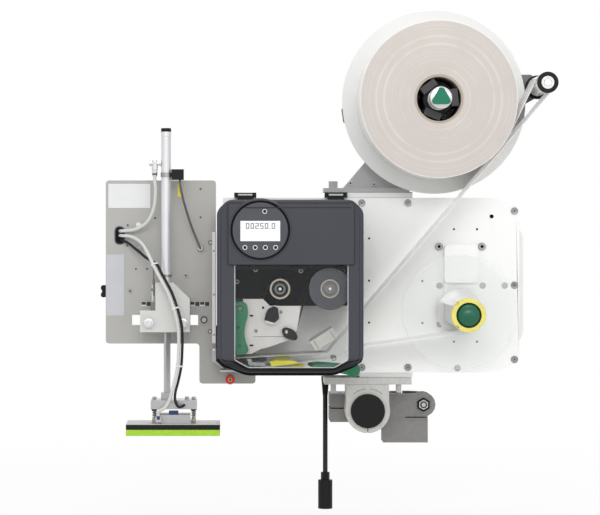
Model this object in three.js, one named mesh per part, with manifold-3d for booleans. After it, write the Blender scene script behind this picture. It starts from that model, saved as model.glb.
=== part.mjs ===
import * as THREE from 'three';
import { mergeVertices } from 'three/addons/utils/BufferGeometryUtils.js';
import Module from 'manifold-3d';

const wasm = await Module();
wasm.setup();

// Print and apply labeler on a stand clamp. Lengths are millimetres.
// The work frame: x to the right, z up, the operator in front at negative y.
// y = 0 is the front of the back plate, and the stand tube's axis is x = 0, z = 0.

// General clearances and finishes
const seat = 0.3;
const runGap = 0.4;
const through = 2;
const weld = 0.0001;
const turn = Math.PI * 2;
const fineSteps = 32;
const roundSteps = 16;
const smallSteps = 8;
const screwSteps = 8;
const cornerSteps = 3;
const hexSides = 6;
const lap = 1;

// Back plate
const panelLeft = -258;
const panelRight = 270;
const panelBottom = 68.5;
const panelTop = 379.5;
const panelThickness = 6;
const panelShoulder = 60;
const panelCornerDrop = 16;
const panelCornerRun = 7;
const panelCornerSide = 28;
const screwRadius = 4.6;
const screwHead = 1.6;
const screwInset = 9;
const screwSpanX = 82;
const screwFirstX = 71.3;
const screwCornerDrop = 14.4;
const sightHoleRadius = 3.5;
const sightHoleInsetX = 50;
const sightHoleInsetZ = 33;

// Rear housing
const housingDepth = 165;
const housingWall = 2.5;
const housingBulge = 7.5;
const housingBulgeInset = 55;
const ventCount = 9;
const ventWidth = 120;
const ventHeight = 6;
const ventPitch = 14;
const footLeft = -14.5;
const footRight = 80;
const footHeight = 9;
const glandRadius = 8;
const glandLength = 12;

// Stand clamp
const tubeRadius = 30.3;
const tubeWall = 3;
const tubeLength = 186;
const capThickness = 5;
const capPlug = 16;
const ringRadius = 39.5;
const ringDepth = 62;
const ringEarHalf = 38;
const ringEarBottom = 18;
const ringSlit = 1.6;
const plateLeft = -77;
const plateRight = 78;
const plateThickness = 12;
const plateDepth = 74;
const plateBoltY = 12;
const plateBoltDrop = 15;
const plateBoltRadius = 5.6;
const plateBoltLeftX = -61;
const plateBoltRightX = 55.6;
const columnX = 72;
const columnY = 122;
const columnRadius = 30.3;
const clampWall = 10;
const crossGap = 1.6;
const crossDepth = 84;
const crossHeight = 50;
const crossLeft = 64;
const crossSlit = 2.4;
const earRadius = 22;
const earReach = 104.6;
const earDepth = 34;
const earBoltZ = 6.7;
const earGrooveZ = -16.3;
const earGrooveHalf = 1;
const earGrooveDepth = 12;
const nutRadius = 10;
const nutHeight = 7;
const columnClampDrop = 62;

// Unwinder
const reelX = 115.3;
const reelZ = 548.3;
const reelFlangeRadius = 162;
const reelFlangeThickness = 3;
const webBack = -26;
const rollWidth = 101;
const rollRadius = 136.2;
const coreRadius = 38.2;
const axleRadius = 8;
const axleBossRadius = 14;
const axleShoulder = 2;
const axleFlange = 4;
const hubRadius = 27;
const hubRecess = 16;
const hubCap = 4;
const jawCount = 3;
const jawWidth = 26;
const jawReach = 37.7;
const jawLead = 8;
const jawTurn = 0.55;
const knobFront = -175;
const knobRadius = 19.5;
const knobBase = 14;
const knobStem = 7;
const knobBevel = 3;
const knobFaceShare = 0.86;
const gripCentreShare = 1.4;
const gripHeight = 10;
const gripReach = 14;
const gripLobe = 5.5;
const uprightThickness = 10;
const uprightFront = 20;
const uprightLeft = -44;
const uprightRight = 75;
const uprightNose = 26.6;
const uprightNoseRise = 22.4;
const uprightHeelRise = 18.2;
const baseLeft = -77.5;
const baseRight = 80;
const baseThickness = 8;
const baseDepth = 62;
const baseFront = 8;
const spacerLeft = -36;
const spacerHeight = 9.4;
const baseBoltX = -61;
const baseBoltRadius = 9;
const baseBoltHeight = 12;

// Dancer arm and its roller
const armFront = -14;
const armThickness = 6;
const armLeft = 163;
const armLeftHalf = 13;
const armHubHalf = 26;
const armRightHalf = 27;
const armNoseShare = 0.8;
const armTipShare = 0.6;
const armRootShare = 0.9;
const rollerX = 298.4;
const rollerZ = 574.8;
const rollerRadius = 15.8;
const rollerFrontRing = 18.3;
const rollerBackRing = 21;
const ringWidth = 6;
const rollerBack = -20;
const rollerFront = -160;
const rollerShaft = 6;

// Paper web
const webThickness = 0.8;
const webSteps = 6;
const webSplit = 0.04;
const guideX = -76;
const guideZ = 109.5;
const peelX = -258;
const peelZ = 93;
const linerStartX = -252;
const linerStartZ = 87;
const linerLowX = -242;
const linerFlatX = -215;
const linerTurnX = -60;
const linerTurnZ = 100;
const linerHoodX = -12.6;
const linerHoodZ = 121.2;

// Rewinder
const rewindX = 161.3;
const rewindZ = 177;
const bearingRadius = 40.7;
const discRadius = 100.8;
const discThickness = 2;
const discFront = -24;
const mandrelRadius = 31;
const mandrelFront = -160;
const mandrelFlange = 4;
const spindleReach = 16;
const discEdge = 0.5;
const collarRadius = 29.4;
const collarDepth = 20;
const domeRadius = 19.5;
const domeRise = 8;
const domeShares = [[0, 1], [0.45, 0.86], [0.8, 0.4], [1, -0.3]];
const knobRim = 2;
const knobBackRecess = 4;
const notchCount = 4;
const notchWidth = 7;
const notchDepth = 4;
const blockLeft = 134.9;
const blockRight = 194.4;
const blockBottom = 228.4;
const blockTop = 296.1;
const blockDepth = 17;
const blockCorner = 8;
const blockNeckDepth = 8;

// Hood
const hoodLeft = -267.8;
const hoodRight = -15.8;
const hoodBottom = 71.4;
const hoodTop = 374.3;
const hoodFront = -152;
const hoodBack = -11;
const hoodWall = 3;
const hoodTopChamfer = 19;
const hoodBottomChamferX = 50;
const hoodBottomChamferZ = 26.4;
const windowLeft = -237.6;
const windowRight = -42.3;
const windowTop = 262.6;
const windowBottom = 85.8;
const windowChamferX = 24;
const windowChamferZ = 13.3;
const windowThickness = 2;
const windowLap = 4;
const fasciaLeft = -248;
const fasciaRight = -33;
const fasciaDepth = 6;
const sillDepth = 20;
const webSlotTop = 222;
const webSlotBottom = 100;
const webSlotFront = -133;
const leftNotchTop = 126;
const hingeAxisY = -4;
const hingeRise = 4.9;
const hingeAxisZ = panelTop + hingeRise;
const hingeWidth = 39.4;
const hingeCheek = 5;
const hingeLeftX = -218.2;
const hingeRightX = -57.2;
const knuckleRadius = 4;
const pinRadius = 1.8;
const leafReach = 12;
const hingeFootDepth = 14;

// Control dial
const dialX = -193.4;
const dialZ = 322;
const dialRadius = 47.6;
const dialRim = 50.4;
const dialThickness = 5;
const dialRecess = 1.2;
const dialBore = 50.8;
const dialHubRadius = 12;
const displayWidth = 68.7;
const displayHeight = 35.2;
const displayRecess = 0.8;
const displayDrop = 1.5;
const buttonRadius = 4.2;
const buttonHeight = 3.2;
const buttonProud = 1;
const buttonPitch = 17.5;
const buttonRowDrop = 29.7;
const buttonTopRise = 32;
const buttonTopX = 7.6;

// Print unit behind the window
const ribbonPlateBack = -26;
const ribbonPlateThickness = 4;
const ribbonPlateLeft = -250;
const ribbonPlateRight = -30;
const ribbonPlateTop = 362;
const ribbonPlateLow = 188.3;
const ribbonPlateStep = 200.5;
const ribbonStepX = -188;
const ribbonStepRun = 12;
const postRadius = 6;
const spindleFront = -130;
const spindleBack = -31;
const ribbonSupplyX = -72.9;
const ribbonSupplyZ = 221;
const ribbonRollRadius = 36.5;
const ribbonCoreRadius = 15.7;
const ribbonTakeupX = -159;
const ribbonTakeupZ = 220.6;
const takeupCoreRadius = 16.5;
const spindleHub = 9.5;
const spindlePin = 2.2;
const spindleRecess = 5;
const spindleRim = 2;
const coreWall = 3;
const takeupFilm = 2;
const headPlateFront = -110;
const headPlateThickness = 4;
const headPlateLeft = -222.7;
const headPlateTop = 202.7;
const headStepX = -188;
const headStepDrop = 12;
const headPlateRight = -123;
const headRightFoot = -129.2;
const headMidZ = 147.3;
const headToeX = -180;
const headToeZ = 118.8;
const headLowX = -213;
const headLowZ = 112;
const headHeelZ = 118;
const headShinX = -144.2;
const headShinZ = 131.3;
const headBodyToeZ = 121.8;
const headBodyInset = 14;
const headBodyBottom = 107.5;
const lugThickness = 9;
const lugCorner = 3;
const lugOutline = [
  [-184, 162.3], [-172, 158.3], [-162, 164.3], [-160, 185.3], [-166, 192.3], [-176, 190.3],
];
const pivotLugReach = 8;
const pivotLugHalf = 9;
const pivotLugLap = 6;
const platenX = -229;
const platenZ = 92;
const platenRadius = 8.4;
const platenShaft = 4;
const platenFront = -128;
const platenTail = 12;

// Lower guide with the dispensing edge, and the web guide on its post
const trayTop = 80;
const trayThickness = 3;
const trayLeft = -262;
const trayRight = -114;
const trayFront = -118;
const sideLeft = -276.3;
const sideThickness = 6.5;
const sideBottom = 92;
const sideKnee = 125;
const sideTop = 319;
const sideFront = -94;
const sideToeFront = -70;
const sideToeTop = 115;
const tongueAngle = 0.68;
const tongueLength = 24;
const guideBlockX = -82.5;
const guideBlockZ = 132.5;
const guideAngle = 0.565;
const guideLength = 46;
const guideWidth = 19;
const guideFront = -112;
const guideThickness = 80;

// Levers and knobs of the print unit
const leverFront = -126;
const leverThickness = 11;
const leverPivotX = -227.9;
const leverPivotZ = 186.6;
const leverPinRadius = 4;
const leverCorner = 4;
const leverOutline = [
  [-14, -14], [-14, 11.2], [0, 14], [14, 8.4], [14.7, -14], [8, -46], [16.8, -70.2], [10.8, -78],
  [-8, -81.9], [-8, -46],
];
const latchX = -147.7;
const latchZ = 145.2;
const latchHalf = 9;
const latchReach = 12;
const latchAngle = -0.5;
const latchSteps = 8;
const latchThickness = 8;
const feedPivotX = -104;
const feedPivotZ = 88;
const feedFront = -70;
const feedThickness = 9;
const feedLobeX = -30;
const feedLobeZ = 77;
const feedLobeRadius = 12.5;
const feedHalf = 5;
const feedPinRadius = 3;
const feedLobeShare = 0.36;
const feedHeelSteps = 6;
const feedLobeSteps = 12;
const redKnobX = -245;
const redKnobZ = 60.5;
const redKnobRadius = 8.6;
const redKnobFront = -74;
const redKnobBack = -56;
const redPostRadius = 3;
const redPostReach = 8;
const redBossRadius = 6;
const flutes = 12;
const fluteShare = 0.9;

// Applicator plate
const padCarrierThickness = 8;
const carrierLeft = -466;
const carrierRight = -270.3;
const carrierTop = 410.3;
const carrierBottom = 120.5;
const tabLeft = -299.7;
const tabRight = -200;
const tabBottom = 49.4;
const tabTop = 150;
const carrierCorner = 6;
const slotLeft = -419.5;
const slotRight = -302;
const slotBottom = 153.3;
const slotHeight = 18;
const grommetX = -441.3;
const grommetZ = 312.6;
const grommetHalfWidth = 8.4;
const grommetHalfHeight = 15.6;
const leadGlandX = -298;
const leadGlandZ = 290;
const leadGlandRadius = 5;
const leadGlandHeight = 8;
const starKnobX = -462.5;
const starKnobZ = 213;
const starKnobRadius = 15.5;
const starKnobHeight = 18;
const starPoints = 5;
const starWaistShare = 0.9;
const starStud = 4;
const starFootRadius = 3.6;
const starStandoff = 6;

// Pneumatic cylinder with its guide block
const cylinderX = -357.5;
const cylinderY = -54;
const barrelRadius = 9;
const barrelBore = 7.5;
const barrelTop = 501;
const barrelHead = 6;
const barrelChamfer = 4;
const barrelChamferRun = 0.8;
const barrelCapHeight = 9;
const rodRadius = 4;
const guideRodX = -354.5;
const guideRodY = -32;
const blockLowLeft = -402.7;
const blockLowRight = -315.6;
const blockLowTop = 181.4;
const blockUpLeft = -375.7;
const blockUpRight = -344.8;
const blockUpTop = 230;
const blockFoot = 143.5;
const blockFrontY = -72;
const blockShoulderZ = 202;
const boltX = 30;
const boltZ = 159.3;
const boltHeadRadius = 6.6;
const boltHeadHeight = 6;
const stopInset = 5;
const stopDepth = 8;
const stopRadius = 1.8;
const stopDrop = 4;
const stopHeadRadius = 3.4;
const stopHeadHeight = 9;
const sensorWidth = 22;
const sensorHeight = 18.5;
const sensorDepth = 20;
const sensorBottom = 410.2;
const elbowZ = 438;
const elbowReach = 22;
const elbowRadius = 4;
const elbowDrop = 22;
const elbowX = -377.4;
const elbowInset = 2;
const elbowBodyRadius = 5.6;

// Pad carriage, pad and springs
const pistonTop = 310;
const pistonHeight = 10;
const guideRodTop = 222;
const barLeft = -383.6;
const barRight = -303.5;
const barBottom = 9.5;
const barTop = 25.1;
const barFront = -80;
const barBack = -28;
const collarTop = 37;
const collarOuter = 9;
const barBoltInset = 17;
const barBoltDepth = 10;
const barBoltRadius = 4.2;
const barBoltHeight = 6;
const barGlandInset = 22;
const barGlandReach = 7;
const padLeft = -426.4;
const padRight = -262.8;
const padFront = -95;
const padBack = -13;
const padTop = -15.3;
const padPlate = 1.2;
const padFoamTop = -25.1;
const padBottom = -35.9;
const manifoldLeft = -371;
const manifoldRight = -315;
const manifoldTop = -0.5;
const springInset = 5.6;
const springBoltRadius = 2.4;
const springBoltHead = 4.2;
const springBoltTop = 29.5;
const nutTop = -6;
const springRadius = 3.7;
const wireRadius = 0.6;
const springCurls = 5;
const curlSteps = 8;
const wireSides = 5;
const fittingSize = 10;
const fittingInset = 4;
const fittingDrop = 2;
const blueTop = 4;
const blueLeft = -351.6;
const blueRight = -336;
const blueInset = 2;
const blueDepth = 18;

// Valve block behind the applicator plate
const valveLeft = -456;
const valveRight = -330;
const valveBottom = 240;
const valveTop = 340;
const valveFront = 16;
const valveDepth = 42;
const valveCount = 4;
const valveGapShare = 0.2;
const valvePostLeft = 36;
const valvePostInset = 12;

// Drive motor and controller board inside the housing
const motorX = -222;
const motorZ = 150;
const motorSize = 57;
const motorLength = 76;
const motorShaft = 4;
const motorShaftReach = 20;
const boardLeft = -100;
const boardRight = 100;
const boardFootRise = 41.5;
const boardTopDrop = 49.5;
const boardBottom = panelBottom + boardFootRise;
const boardTop = panelTop - boardTopDrop;
const boardThickness = 1.6;
const boardStandoff = 12;
const chipHeight = 14;
const chipWidth = 40;
const chipCount = 3;
const chipPitch = 60;
const chipInset = 20;

// Hoses and leads
const hoseRadius = 3;
const cableRadius = 2.4;
const leadRadius = 2;
const mainsRadius = 4.3;
const hoseSides = 8;
const shortHoseSteps = 22;
const padHoseSteps = 44;
const padCableSteps = 50;
const bundleSide = 6;
const bundleBack = 2.5;
const bundleFirst = 8;
const bundleLast = 23;
const mainsX = -72;
const mainsY = 92;
const mainsEnd = -118;
const mainsSteps = 14;
const mainsSides = 10;
const mainsStations = 8;
const plugRadius = 13;
const plugLength = 52;
const plugNeck = 8;
const plugNeckLength = 14;

// Materials
function finish(color, roughness, metalness, opacity = 1) {
  return new THREE.MeshStandardMaterial({
    color, roughness, metalness, opacity, transparent: opacity < 1,
  });
}
const whitePaint = finish(0xebeeec, 0.45, 0.0);
const lightGrey = finish(0xd2d2d6, 0.45, 0.1);
const slate = finish(0x464850, 0.5, 0.0);
const blackPlastic = finish(0x2b2b2d, 0.55, 0.0);
const castMetal = finish(0xa0a0a5, 0.6, 0.7);
const brightMetal = finish(0xc6c6c8, 0.3, 1.0);
const satinAluminium = finish(0xb2b2ac, 0.42, 0.6);
const greenPlastic = finish(0x00603f, 0.4, 0.0);
const leverGreen = finish(0x2f7d55, 0.45, 0.0);
const redPlastic = finish(0xc81414, 0.4, 0.0);
const yellowPlastic = finish(0xe6de6a, 0.4, 0.0);
const paper = finish(0xd9d0cb, 0.8, 0.0);
const webPaper = finish(0xefefec, 0.6, 0.0);
const clearSheet = finish(0xeaf0f2, 0.05, 0.0, 0.25);
const rubber = finish(0x202022, 0.8, 0.0);
const foam = finish(0xa0cd3c, 0.9, 0.0);
const boardGreen = finish(0x1f5a34, 0.6, 0.0);
const hoseWhite = finish(0xdcdcdc, 0.4, 0.0);

// Solids from three.js geometry
function toSolid(geometry) {
  const bare = geometry.index ? geometry.toNonIndexed() : geometry;
  bare.deleteAttribute('normal');
  bare.deleteAttribute('uv');
  const merged = mergeVertices(bare, weld);
  const points = merged.attributes.position;
  const corner = merged.index.array;
  const kept = [];
  const a = new THREE.Vector3();
  const b = new THREE.Vector3();
  const c = new THREE.Vector3();
  let volume = 0;
  for (let i = 0; i < corner.length; i += 3) {
    const [p, q, r] = [corner[i], corner[i + 1], corner[i + 2]];
    if (p === q || q === r || r === p) continue;
    kept.push(p, q, r);
    a.fromBufferAttribute(points, p);
    b.fromBufferAttribute(points, q);
    c.fromBufferAttribute(points, r);
    volume += a.dot(b.cross(c));
  }
  if (volume < 0) kept.reverse();
  return new wasm.Manifold(new wasm.Mesh({
    numProp: 3,
    vertProperties: new Float32Array(points.array),
    triVerts: new Uint32Array(kept),
  }));
}

function toGeometry(solid) {
  const mesh = solid.getMesh();
  const geometry = new THREE.BufferGeometry();
  const places = new Float32Array(mesh.numVert * 3);
  for (let i = 0; i < mesh.numVert; i += 1) {
    for (let k = 0; k < 3; k += 1) {
      places[i * 3 + k] = mesh.vertProperties[i * mesh.numProp + k];
    }
  }
  geometry.setAttribute('position', new THREE.BufferAttribute(places, 3));
  geometry.setIndex(Array.from(mesh.triVerts));
  geometry.computeVertexNormals();
  return geometry;
}

function join(first, ...rest) {
  return rest.reduce((sum, next) => sum.add(next), first);
}

function cut(first, ...rest) {
  return rest.reduce((left, next) => left.subtract(next), first);
}

function block(x0, x1, y0, y1, z0, z1) {
  const box = new THREE.BoxGeometry(x1 - x0, y1 - y0, z1 - z0);
  return toSolid(box.translate((x0 + x1) / 2, (y0 + y1) / 2, (z0 + z1) / 2));
}

function rodY(x, z, radius, y0, y1, steps = roundSteps, radiusFront = radius) {
  const rod = new THREE.CylinderGeometry(radius, radiusFront, y1 - y0, steps);
  return toSolid(rod.translate(x, (y0 + y1) / 2, z));
}

function rodX(y, z, radius, x0, x1, steps = roundSteps) {
  const rod = new THREE.CylinderGeometry(radius, radius, x1 - x0, steps).rotateZ(Math.PI / 2);
  return toSolid(rod.translate((x0 + x1) / 2, y, z));
}

function rodZ(x, y, radius, z0, z1, steps = roundSteps) {
  const rod = new THREE.CylinderGeometry(radius, radius, z1 - z0, steps).rotateX(Math.PI / 2);
  return toSolid(rod.translate(x, y, (z0 + z1) / 2));
}

// An outline in x and z, extruded from y0 back to y1
function slabY(outline, y0, y1) {
  const slab = new THREE.ExtrudeGeometry(outline, {
    depth: y1 - y0, bevelEnabled: false, curveSegments: cornerSteps,
  });
  return toSolid(slab.rotateX(Math.PI / 2).translate(0, y1, 0));
}

// An outline in y and z, extruded from x0 to x1
function slabX(outline, x0, x1) {
  const slab = new THREE.ExtrudeGeometry(outline, {
    depth: x1 - x0, bevelEnabled: false, curveSegments: cornerSteps,
  });
  const basis = new THREE.Matrix4().makeBasis(
    new THREE.Vector3(0, 1, 0), new THREE.Vector3(0, 0, 1), new THREE.Vector3(1, 0, 0));
  return toSolid(slab.applyMatrix4(basis).translate(x0, 0, 0));
}

function polygon(points) {
  return new THREE.Shape(points.map(([u, v]) => new THREE.Vector2(u, v)));
}

// A polygon whose corners are rounded by the same reach
function softPolygon(points, reach) {
  const shape = new THREE.Shape();
  const count = points.length;
  points.forEach(([u, v], i) => {
    const [pu, pv] = points[(i + count - 1) % count];
    const [nu, nv] = points[(i + 1) % count];
    const before = Math.hypot(u - pu, v - pv);
    const after = Math.hypot(nu - u, nv - v);
    const inShare = Math.min(reach, before / 2) / before;
    const outShare = Math.min(reach, after / 2) / after;
    const start = [u + (pu - u) * inShare, v + (pv - v) * inShare];
    if (i === 0) shape.moveTo(...start);
    else shape.lineTo(...start);
    shape.quadraticCurveTo(u, v, u + (nu - u) * outShare, v + (nv - v) * outShare);
  });
  return shape;
}

function rectangle(u0, u1, v0, v1) {
  return [[u0, v0], [u1, v0], [u1, v1], [u0, v1]];
}

function circlePoints(u, v, radius, from, to, steps) {
  const points = [];
  for (let i = 0; i <= steps; i += 1) {
    const angle = from + ((to - from) * i) / steps;
    points.push([u + radius * Math.cos(angle), v + radius * Math.sin(angle)]);
  }
  return points;
}

function turned(profile, x, z, steps = fineSteps) {
  const points = profile.map(([r, y]) => new THREE.Vector2(r, y));
  return toSolid(new THREE.LatheGeometry(points, steps).translate(x, 0, z));
}

function ringY(x, z, outer, inner, y0, y1, steps = fineSteps) {
  return turned([[inner, y0], [outer, y0], [outer, y1], [inner, y1], [inner, y0]], x, z, steps);
}

function tubeAlong(points, radius, steps, sides = hoseSides) {
  const places = points.map(([x, y, z]) => new THREE.Vector3(x, y, z));
  const path = new THREE.CatmullRomCurve3(places, false, 'centripetal');
  const section = polygon(circlePoints(0, 0, radius, 0, turn * (1 - 1 / sides), sides - 1));
  return toSolid(new THREE.ExtrudeGeometry(section, {
    steps, extrudePath: path, bevelEnabled: false,
  }));
}

const pieces = [];
function piece(name, solid, material) {
  const mesh = new THREE.Mesh(toGeometry(solid), material);
  mesh.name = name;
  pieces.push(mesh);
}

// Back plate of the machine, with its screws and the block over the rewinder
function panelOutline(grow) {
  const shape = new THREE.Shape();
  const right = panelRight + grow;
  const top = panelTop + grow;
  const bottom = panelBottom - grow;
  shape.moveTo(panelLeft - grow, bottom);
  shape.lineTo(panelRight - panelShoulder, bottom);
  shape.quadraticCurveTo(right - panelCornerSide, bottom, right - panelCornerRun, bottom + panelCornerDrop);
  const halfRun = panelCornerRun / 2;
  shape.quadraticCurveTo(right, bottom + panelCornerDrop + halfRun, right, bottom + panelCornerSide);
  shape.lineTo(right, top - panelCornerSide);
  shape.quadraticCurveTo(
    right, top - panelCornerDrop - halfRun, right - panelCornerRun, top - panelCornerDrop);
  shape.quadraticCurveTo(right - panelCornerSide, top, panelRight - panelShoulder, top);
  shape.lineTo(panelLeft - grow, top);
  return shape;
}

const panelMiddle = (panelTop + panelBottom) / 2;

function panelScrews() {
  const topRow = panelTop - screwInset;
  const bottomRow = panelBottom + screwInset;
  const rightColumn = panelRight - screwInset;
  return [
    [screwFirstX, topRow], [screwFirstX, bottomRow], [screwFirstX - screwSpanX, topRow],
    [screwFirstX - screwSpanX, bottomRow], [rightColumn, topRow - screwCornerDrop],
    [rightColumn, panelMiddle], [rightColumn, bottomRow + screwCornerDrop],
    [blockLeft - screwInset, blockTop], [blockRight + screwInset, blockTop],
  ];
}

function buildPanel() {
  let solid = slabY(panelOutline(0), 0, panelThickness);
  for (const [x, z] of panelScrews()) {
    solid = solid.add(rodY(x, z, screwRadius, -screwHead, panelThickness / 2, smallSteps));
  }
  const blockBack = panelThickness / 2;
  solid = join(
    solid,
    slabY(softPolygon(rectangle(blockLeft, blockRight, blockBottom, blockTop), blockCorner),
      -blockDepth, blockBack),
    block(blockLeft, blockRight, -blockNeckDepth, blockBack, rewindZ, blockBottom + blockCorner));
  const guide = new THREE.BoxGeometry(guideLength, guideThickness, guideWidth);
  guide.rotateY(-guideAngle).translate(guideBlockX, guideFront + guideThickness / 2, guideBlockZ);
  const guidePost = rodY(guideBlockX, guideBlockZ, postRadius, guideFront + guideThickness - lap,
    blockBack, smallSteps);
  const feedPin = rodY(feedPivotX, feedPivotZ, feedPinRadius - runGap, feedFront, blockBack, smallSteps);
  solid = join(solid, toSolid(guide), guidePost, feedPin);
  const sight = rodY(panelRight - sightHoleInsetX, panelTop - sightHoleInsetZ, sightHoleRadius,
    -through, panelThickness + through, smallSteps);
  const holeBack = panelThickness + through;
  const shaftHole = rodY(rewindX, rewindZ, axleRadius + runGap, -blockDepth - through, holeBack);
  const platenHole = rodY(platenX, platenZ, platenShaft + runGap, -through, holeBack, smallSteps);
  return cut(solid, sight, shaftHole, platenHole);
}

// Rear housing: an open-fronted shell with louvres and a foot on the mounting plate
const housingFront = panelThickness + seat;
const housingRear = panelThickness + housingDepth;

function bulgeOutline(inset) {
  const right = panelRight + housingBulge - inset;
  const low = panelBottom + housingBulgeInset;
  const high = panelTop - housingBulgeInset;
  return polygon([
    [0, low + inset], [panelRight - inset, low + inset], [right, low + inset + housingBulge * 2],
    [right, high - inset - housingBulge * 2], [panelRight - inset, high - inset], [0, high - inset],
  ]);
}

function buildHousing() {
  const outer = join(
    slabY(panelOutline(0), housingFront, housingRear),
    slabY(bulgeOutline(0), housingFront, housingRear));
  const inner = join(
    slabY(panelOutline(-housingWall), housingFront - through, housingRear - housingWall),
    slabY(bulgeOutline(housingWall), housingFront + housingWall, housingRear - housingWall));
  let shell = outer.subtract(inner);
  const ventX = (panelLeft + panelRight) / 2;
  for (let i = 0; i < ventCount; i += 1) {
    const z = panelMiddle + (i - (ventCount - 1) / 2) * ventPitch;
    shell = shell.subtract(block(ventX - ventWidth / 2, ventX + ventWidth / 2,
      housingRear - housingWall - through, housingRear + through, z - ventHeight / 2, z + ventHeight / 2));
  }
  const floor = panelBottom + housingWall / 2;
  const foot = block(footLeft, footRight, housingFront, plateDepth, panelBottom - footHeight, floor);
  const gland = rodZ(mainsX, mainsY, glandRadius, panelBottom - glandLength, floor, hexSides);
  return join(shell, foot, gland);
}

// Stand clamp: mounting plate, clamp ring, tube with its cap, and cross clamp
const plateTop = panelBottom - footHeight - seat;
const plateBottom = plateTop - plateThickness;

function buildMountPlate() {
  let solid = block(plateLeft, plateRight, 0, plateDepth, plateBottom, plateTop);
  for (const x of [plateBoltLeftX, plateBoltRightX]) {
    solid = solid.add(rodZ(x, plateBoltY, plateBoltRadius, plateBottom - plateBoltDrop,
      plateBottom + lap, hexSides));
  }
  return solid;
}

function buildClampRing() {
  const ring = rodY(0, 0, ringRadius, 0, ringDepth, fineSteps);
  const ears = slabY(polygon([
    [-ringRadius, 0], [ringRadius, 0], [ringEarHalf, ringEarBottom],
    [ringEarHalf, plateBottom - seat], [-ringEarHalf, plateBottom - seat], [-ringEarHalf, ringEarBottom],
  ]), 0, ringDepth);
  const slit = block(-ringSlit / 2, ringSlit / 2, -through, ringDepth + through, -ringRadius - through, 0);
  return cut(ring.add(ears), rodY(0, 0, tubeRadius + seat, -through, ringDepth + through, fineSteps), slit);
}

function buildCrossClamp() {
  const front = ringDepth + crossGap;
  const back = front + crossDepth;
  const half = crossHeight / 2;
  const sleeve = rodY(0, 0, tubeRadius + clampWall, front, back, fineSteps);
  const body = block(-crossLeft, columnX + columnRadius + clampWall, front, back, -half, half);
  const column = join(
    rodZ(columnX, columnY, columnRadius + clampWall, -columnClampDrop, half, fineSteps),
    block(columnX - columnRadius - clampWall, columnX + columnRadius + clampWall, front, columnY,
      -columnClampDrop, -half + lap));
  const ear = rodY(earReach - seat, earBoltZ, earRadius, front, front + earDepth);
  const nut = rodY(earReach - seat, earBoltZ, nutRadius, front - nutHeight / 2, front + lap, hexSides);
  const tubeBore = rodY(0, 0, tubeRadius + seat, front - through, back + through, fineSteps);
  const columnBore = rodZ(
    columnX, columnY, columnRadius, -columnClampDrop - through, half + through, fineSteps);
  const leftSlit = block(-crossLeft - through, -tubeRadius, front - through, back + through,
    -crossSlit / 2, crossSlit / 2);
  const earGroove = block(columnX, earReach + earRadius, front - through, front + earGrooveDepth,
    earGrooveZ - earGrooveHalf, earGrooveZ + earGrooveHalf);
  const backSlit = block(columnX - crossSlit / 2, columnX + crossSlit / 2, columnY,
    back + columnRadius, -columnClampDrop - through, half + through);
  return cut(join(body, sleeve, column, ear, nut), tubeBore, columnBore, leftSlit, backSlit,
    earGroove);
}

function buildStandClamp() {
  const tube = ringY(0, 0, tubeRadius, tubeRadius - tubeWall, 0, tubeLength);
  const cap = join(
    rodY(0, 0, tubeRadius, -seat - capThickness, -seat, fineSteps),
    rodY(0, 0, tubeRadius - tubeWall - seat, -seat - lap, capPlug, fineSteps));
  piece('mount_plate', buildMountPlate(), castMetal);
  piece('clamp_ring', buildClampRing(), castMetal);
  piece('stand_tube', tube, brightMetal);
  piece('tube_cap', cap, blackPlastic);
  piece('cross_clamp', buildCrossClamp(), castMetal);
}

// Unwinder: bracket with axle, reel, paper roll and lock knob
const baseBottom = panelTop + seat + spacerHeight;
const baseTop = baseBottom + baseThickness;
const rollFront = webBack - seat - rollWidth;
const hubFront = rollFront + hubRecess;
const hubBack = webBack - seat;
const axleEnd = hubFront + hubCap + seat;
const flangeBack = webBack + reelFlangeThickness;
const armBack = armFront + armThickness;
const bossFront = armFront - runGap;
const bossShoulder = armBack + runGap;

function buildUnwinderBracket() {
  const baseBack = baseFront + baseDepth;
  const spacer = block(spacerLeft, baseRight, baseFront, baseBack, panelTop + seat, baseBottom + lap);
  const base = block(baseLeft, uprightRight, baseFront, baseBack, baseBottom, baseTop);
  const bolt = rodZ(baseBoltX, baseFront + baseBoltRadius, baseBoltRadius, baseTop - lap,
    baseTop + baseBoltHeight, hexSides);
  const upright = slabY(softPolygon([
    [uprightLeft, baseTop - lap], [uprightRight, baseTop - lap],
    [reelX + uprightNose, reelZ - axleBossRadius],
    [reelX + axleBossRadius, reelZ + uprightNoseRise],
    [reelX - axleBossRadius, reelZ + uprightHeelRise],
  ], cornerSteps), uprightFront, uprightFront + uprightThickness);
  const axle = turned([
    [0, axleEnd], [axleRadius, axleEnd], [axleRadius, bossFront],
    [axleBossRadius - axleShoulder, bossFront], [axleBossRadius - axleShoulder, bossShoulder],
    [axleBossRadius + axleFlange, bossShoulder], [axleBossRadius + axleFlange, uprightFront + lap],
    [0, uprightFront + lap],
  ], reelX, reelZ, roundSteps);
  return join(spacer, base, bolt, upright, axle);
}

function buildReelHub() {
  const boss = rodY(reelX, reelZ, hubRadius, hubFront, hubBack, fineSteps);
  let hub = boss;
  for (let i = 0; i < jawCount; i += 1) {
    const angle = jawTurn + (turn * i) / jawCount;
    const jaw = new THREE.BoxGeometry(jawReach, hubBack - hubFront - jawLead, jawWidth);
    jaw.translate(jawReach / 2, (hubBack + hubFront + jawLead) / 2 - jawLead, 0);
    jaw.rotateY(-angle).translate(reelX, 0, reelZ);
    hub = hub.add(toSolid(jaw));
  }
  const keep = rodY(reelX, reelZ, coreRadius - seat * 2, hubFront - jawLead, hubBack, fineSteps);
  return hub.intersect(keep).subtract(
    rodY(reelX, reelZ, axleRadius + runGap, hubFront + hubCap, hubBack + through));
}

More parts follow.
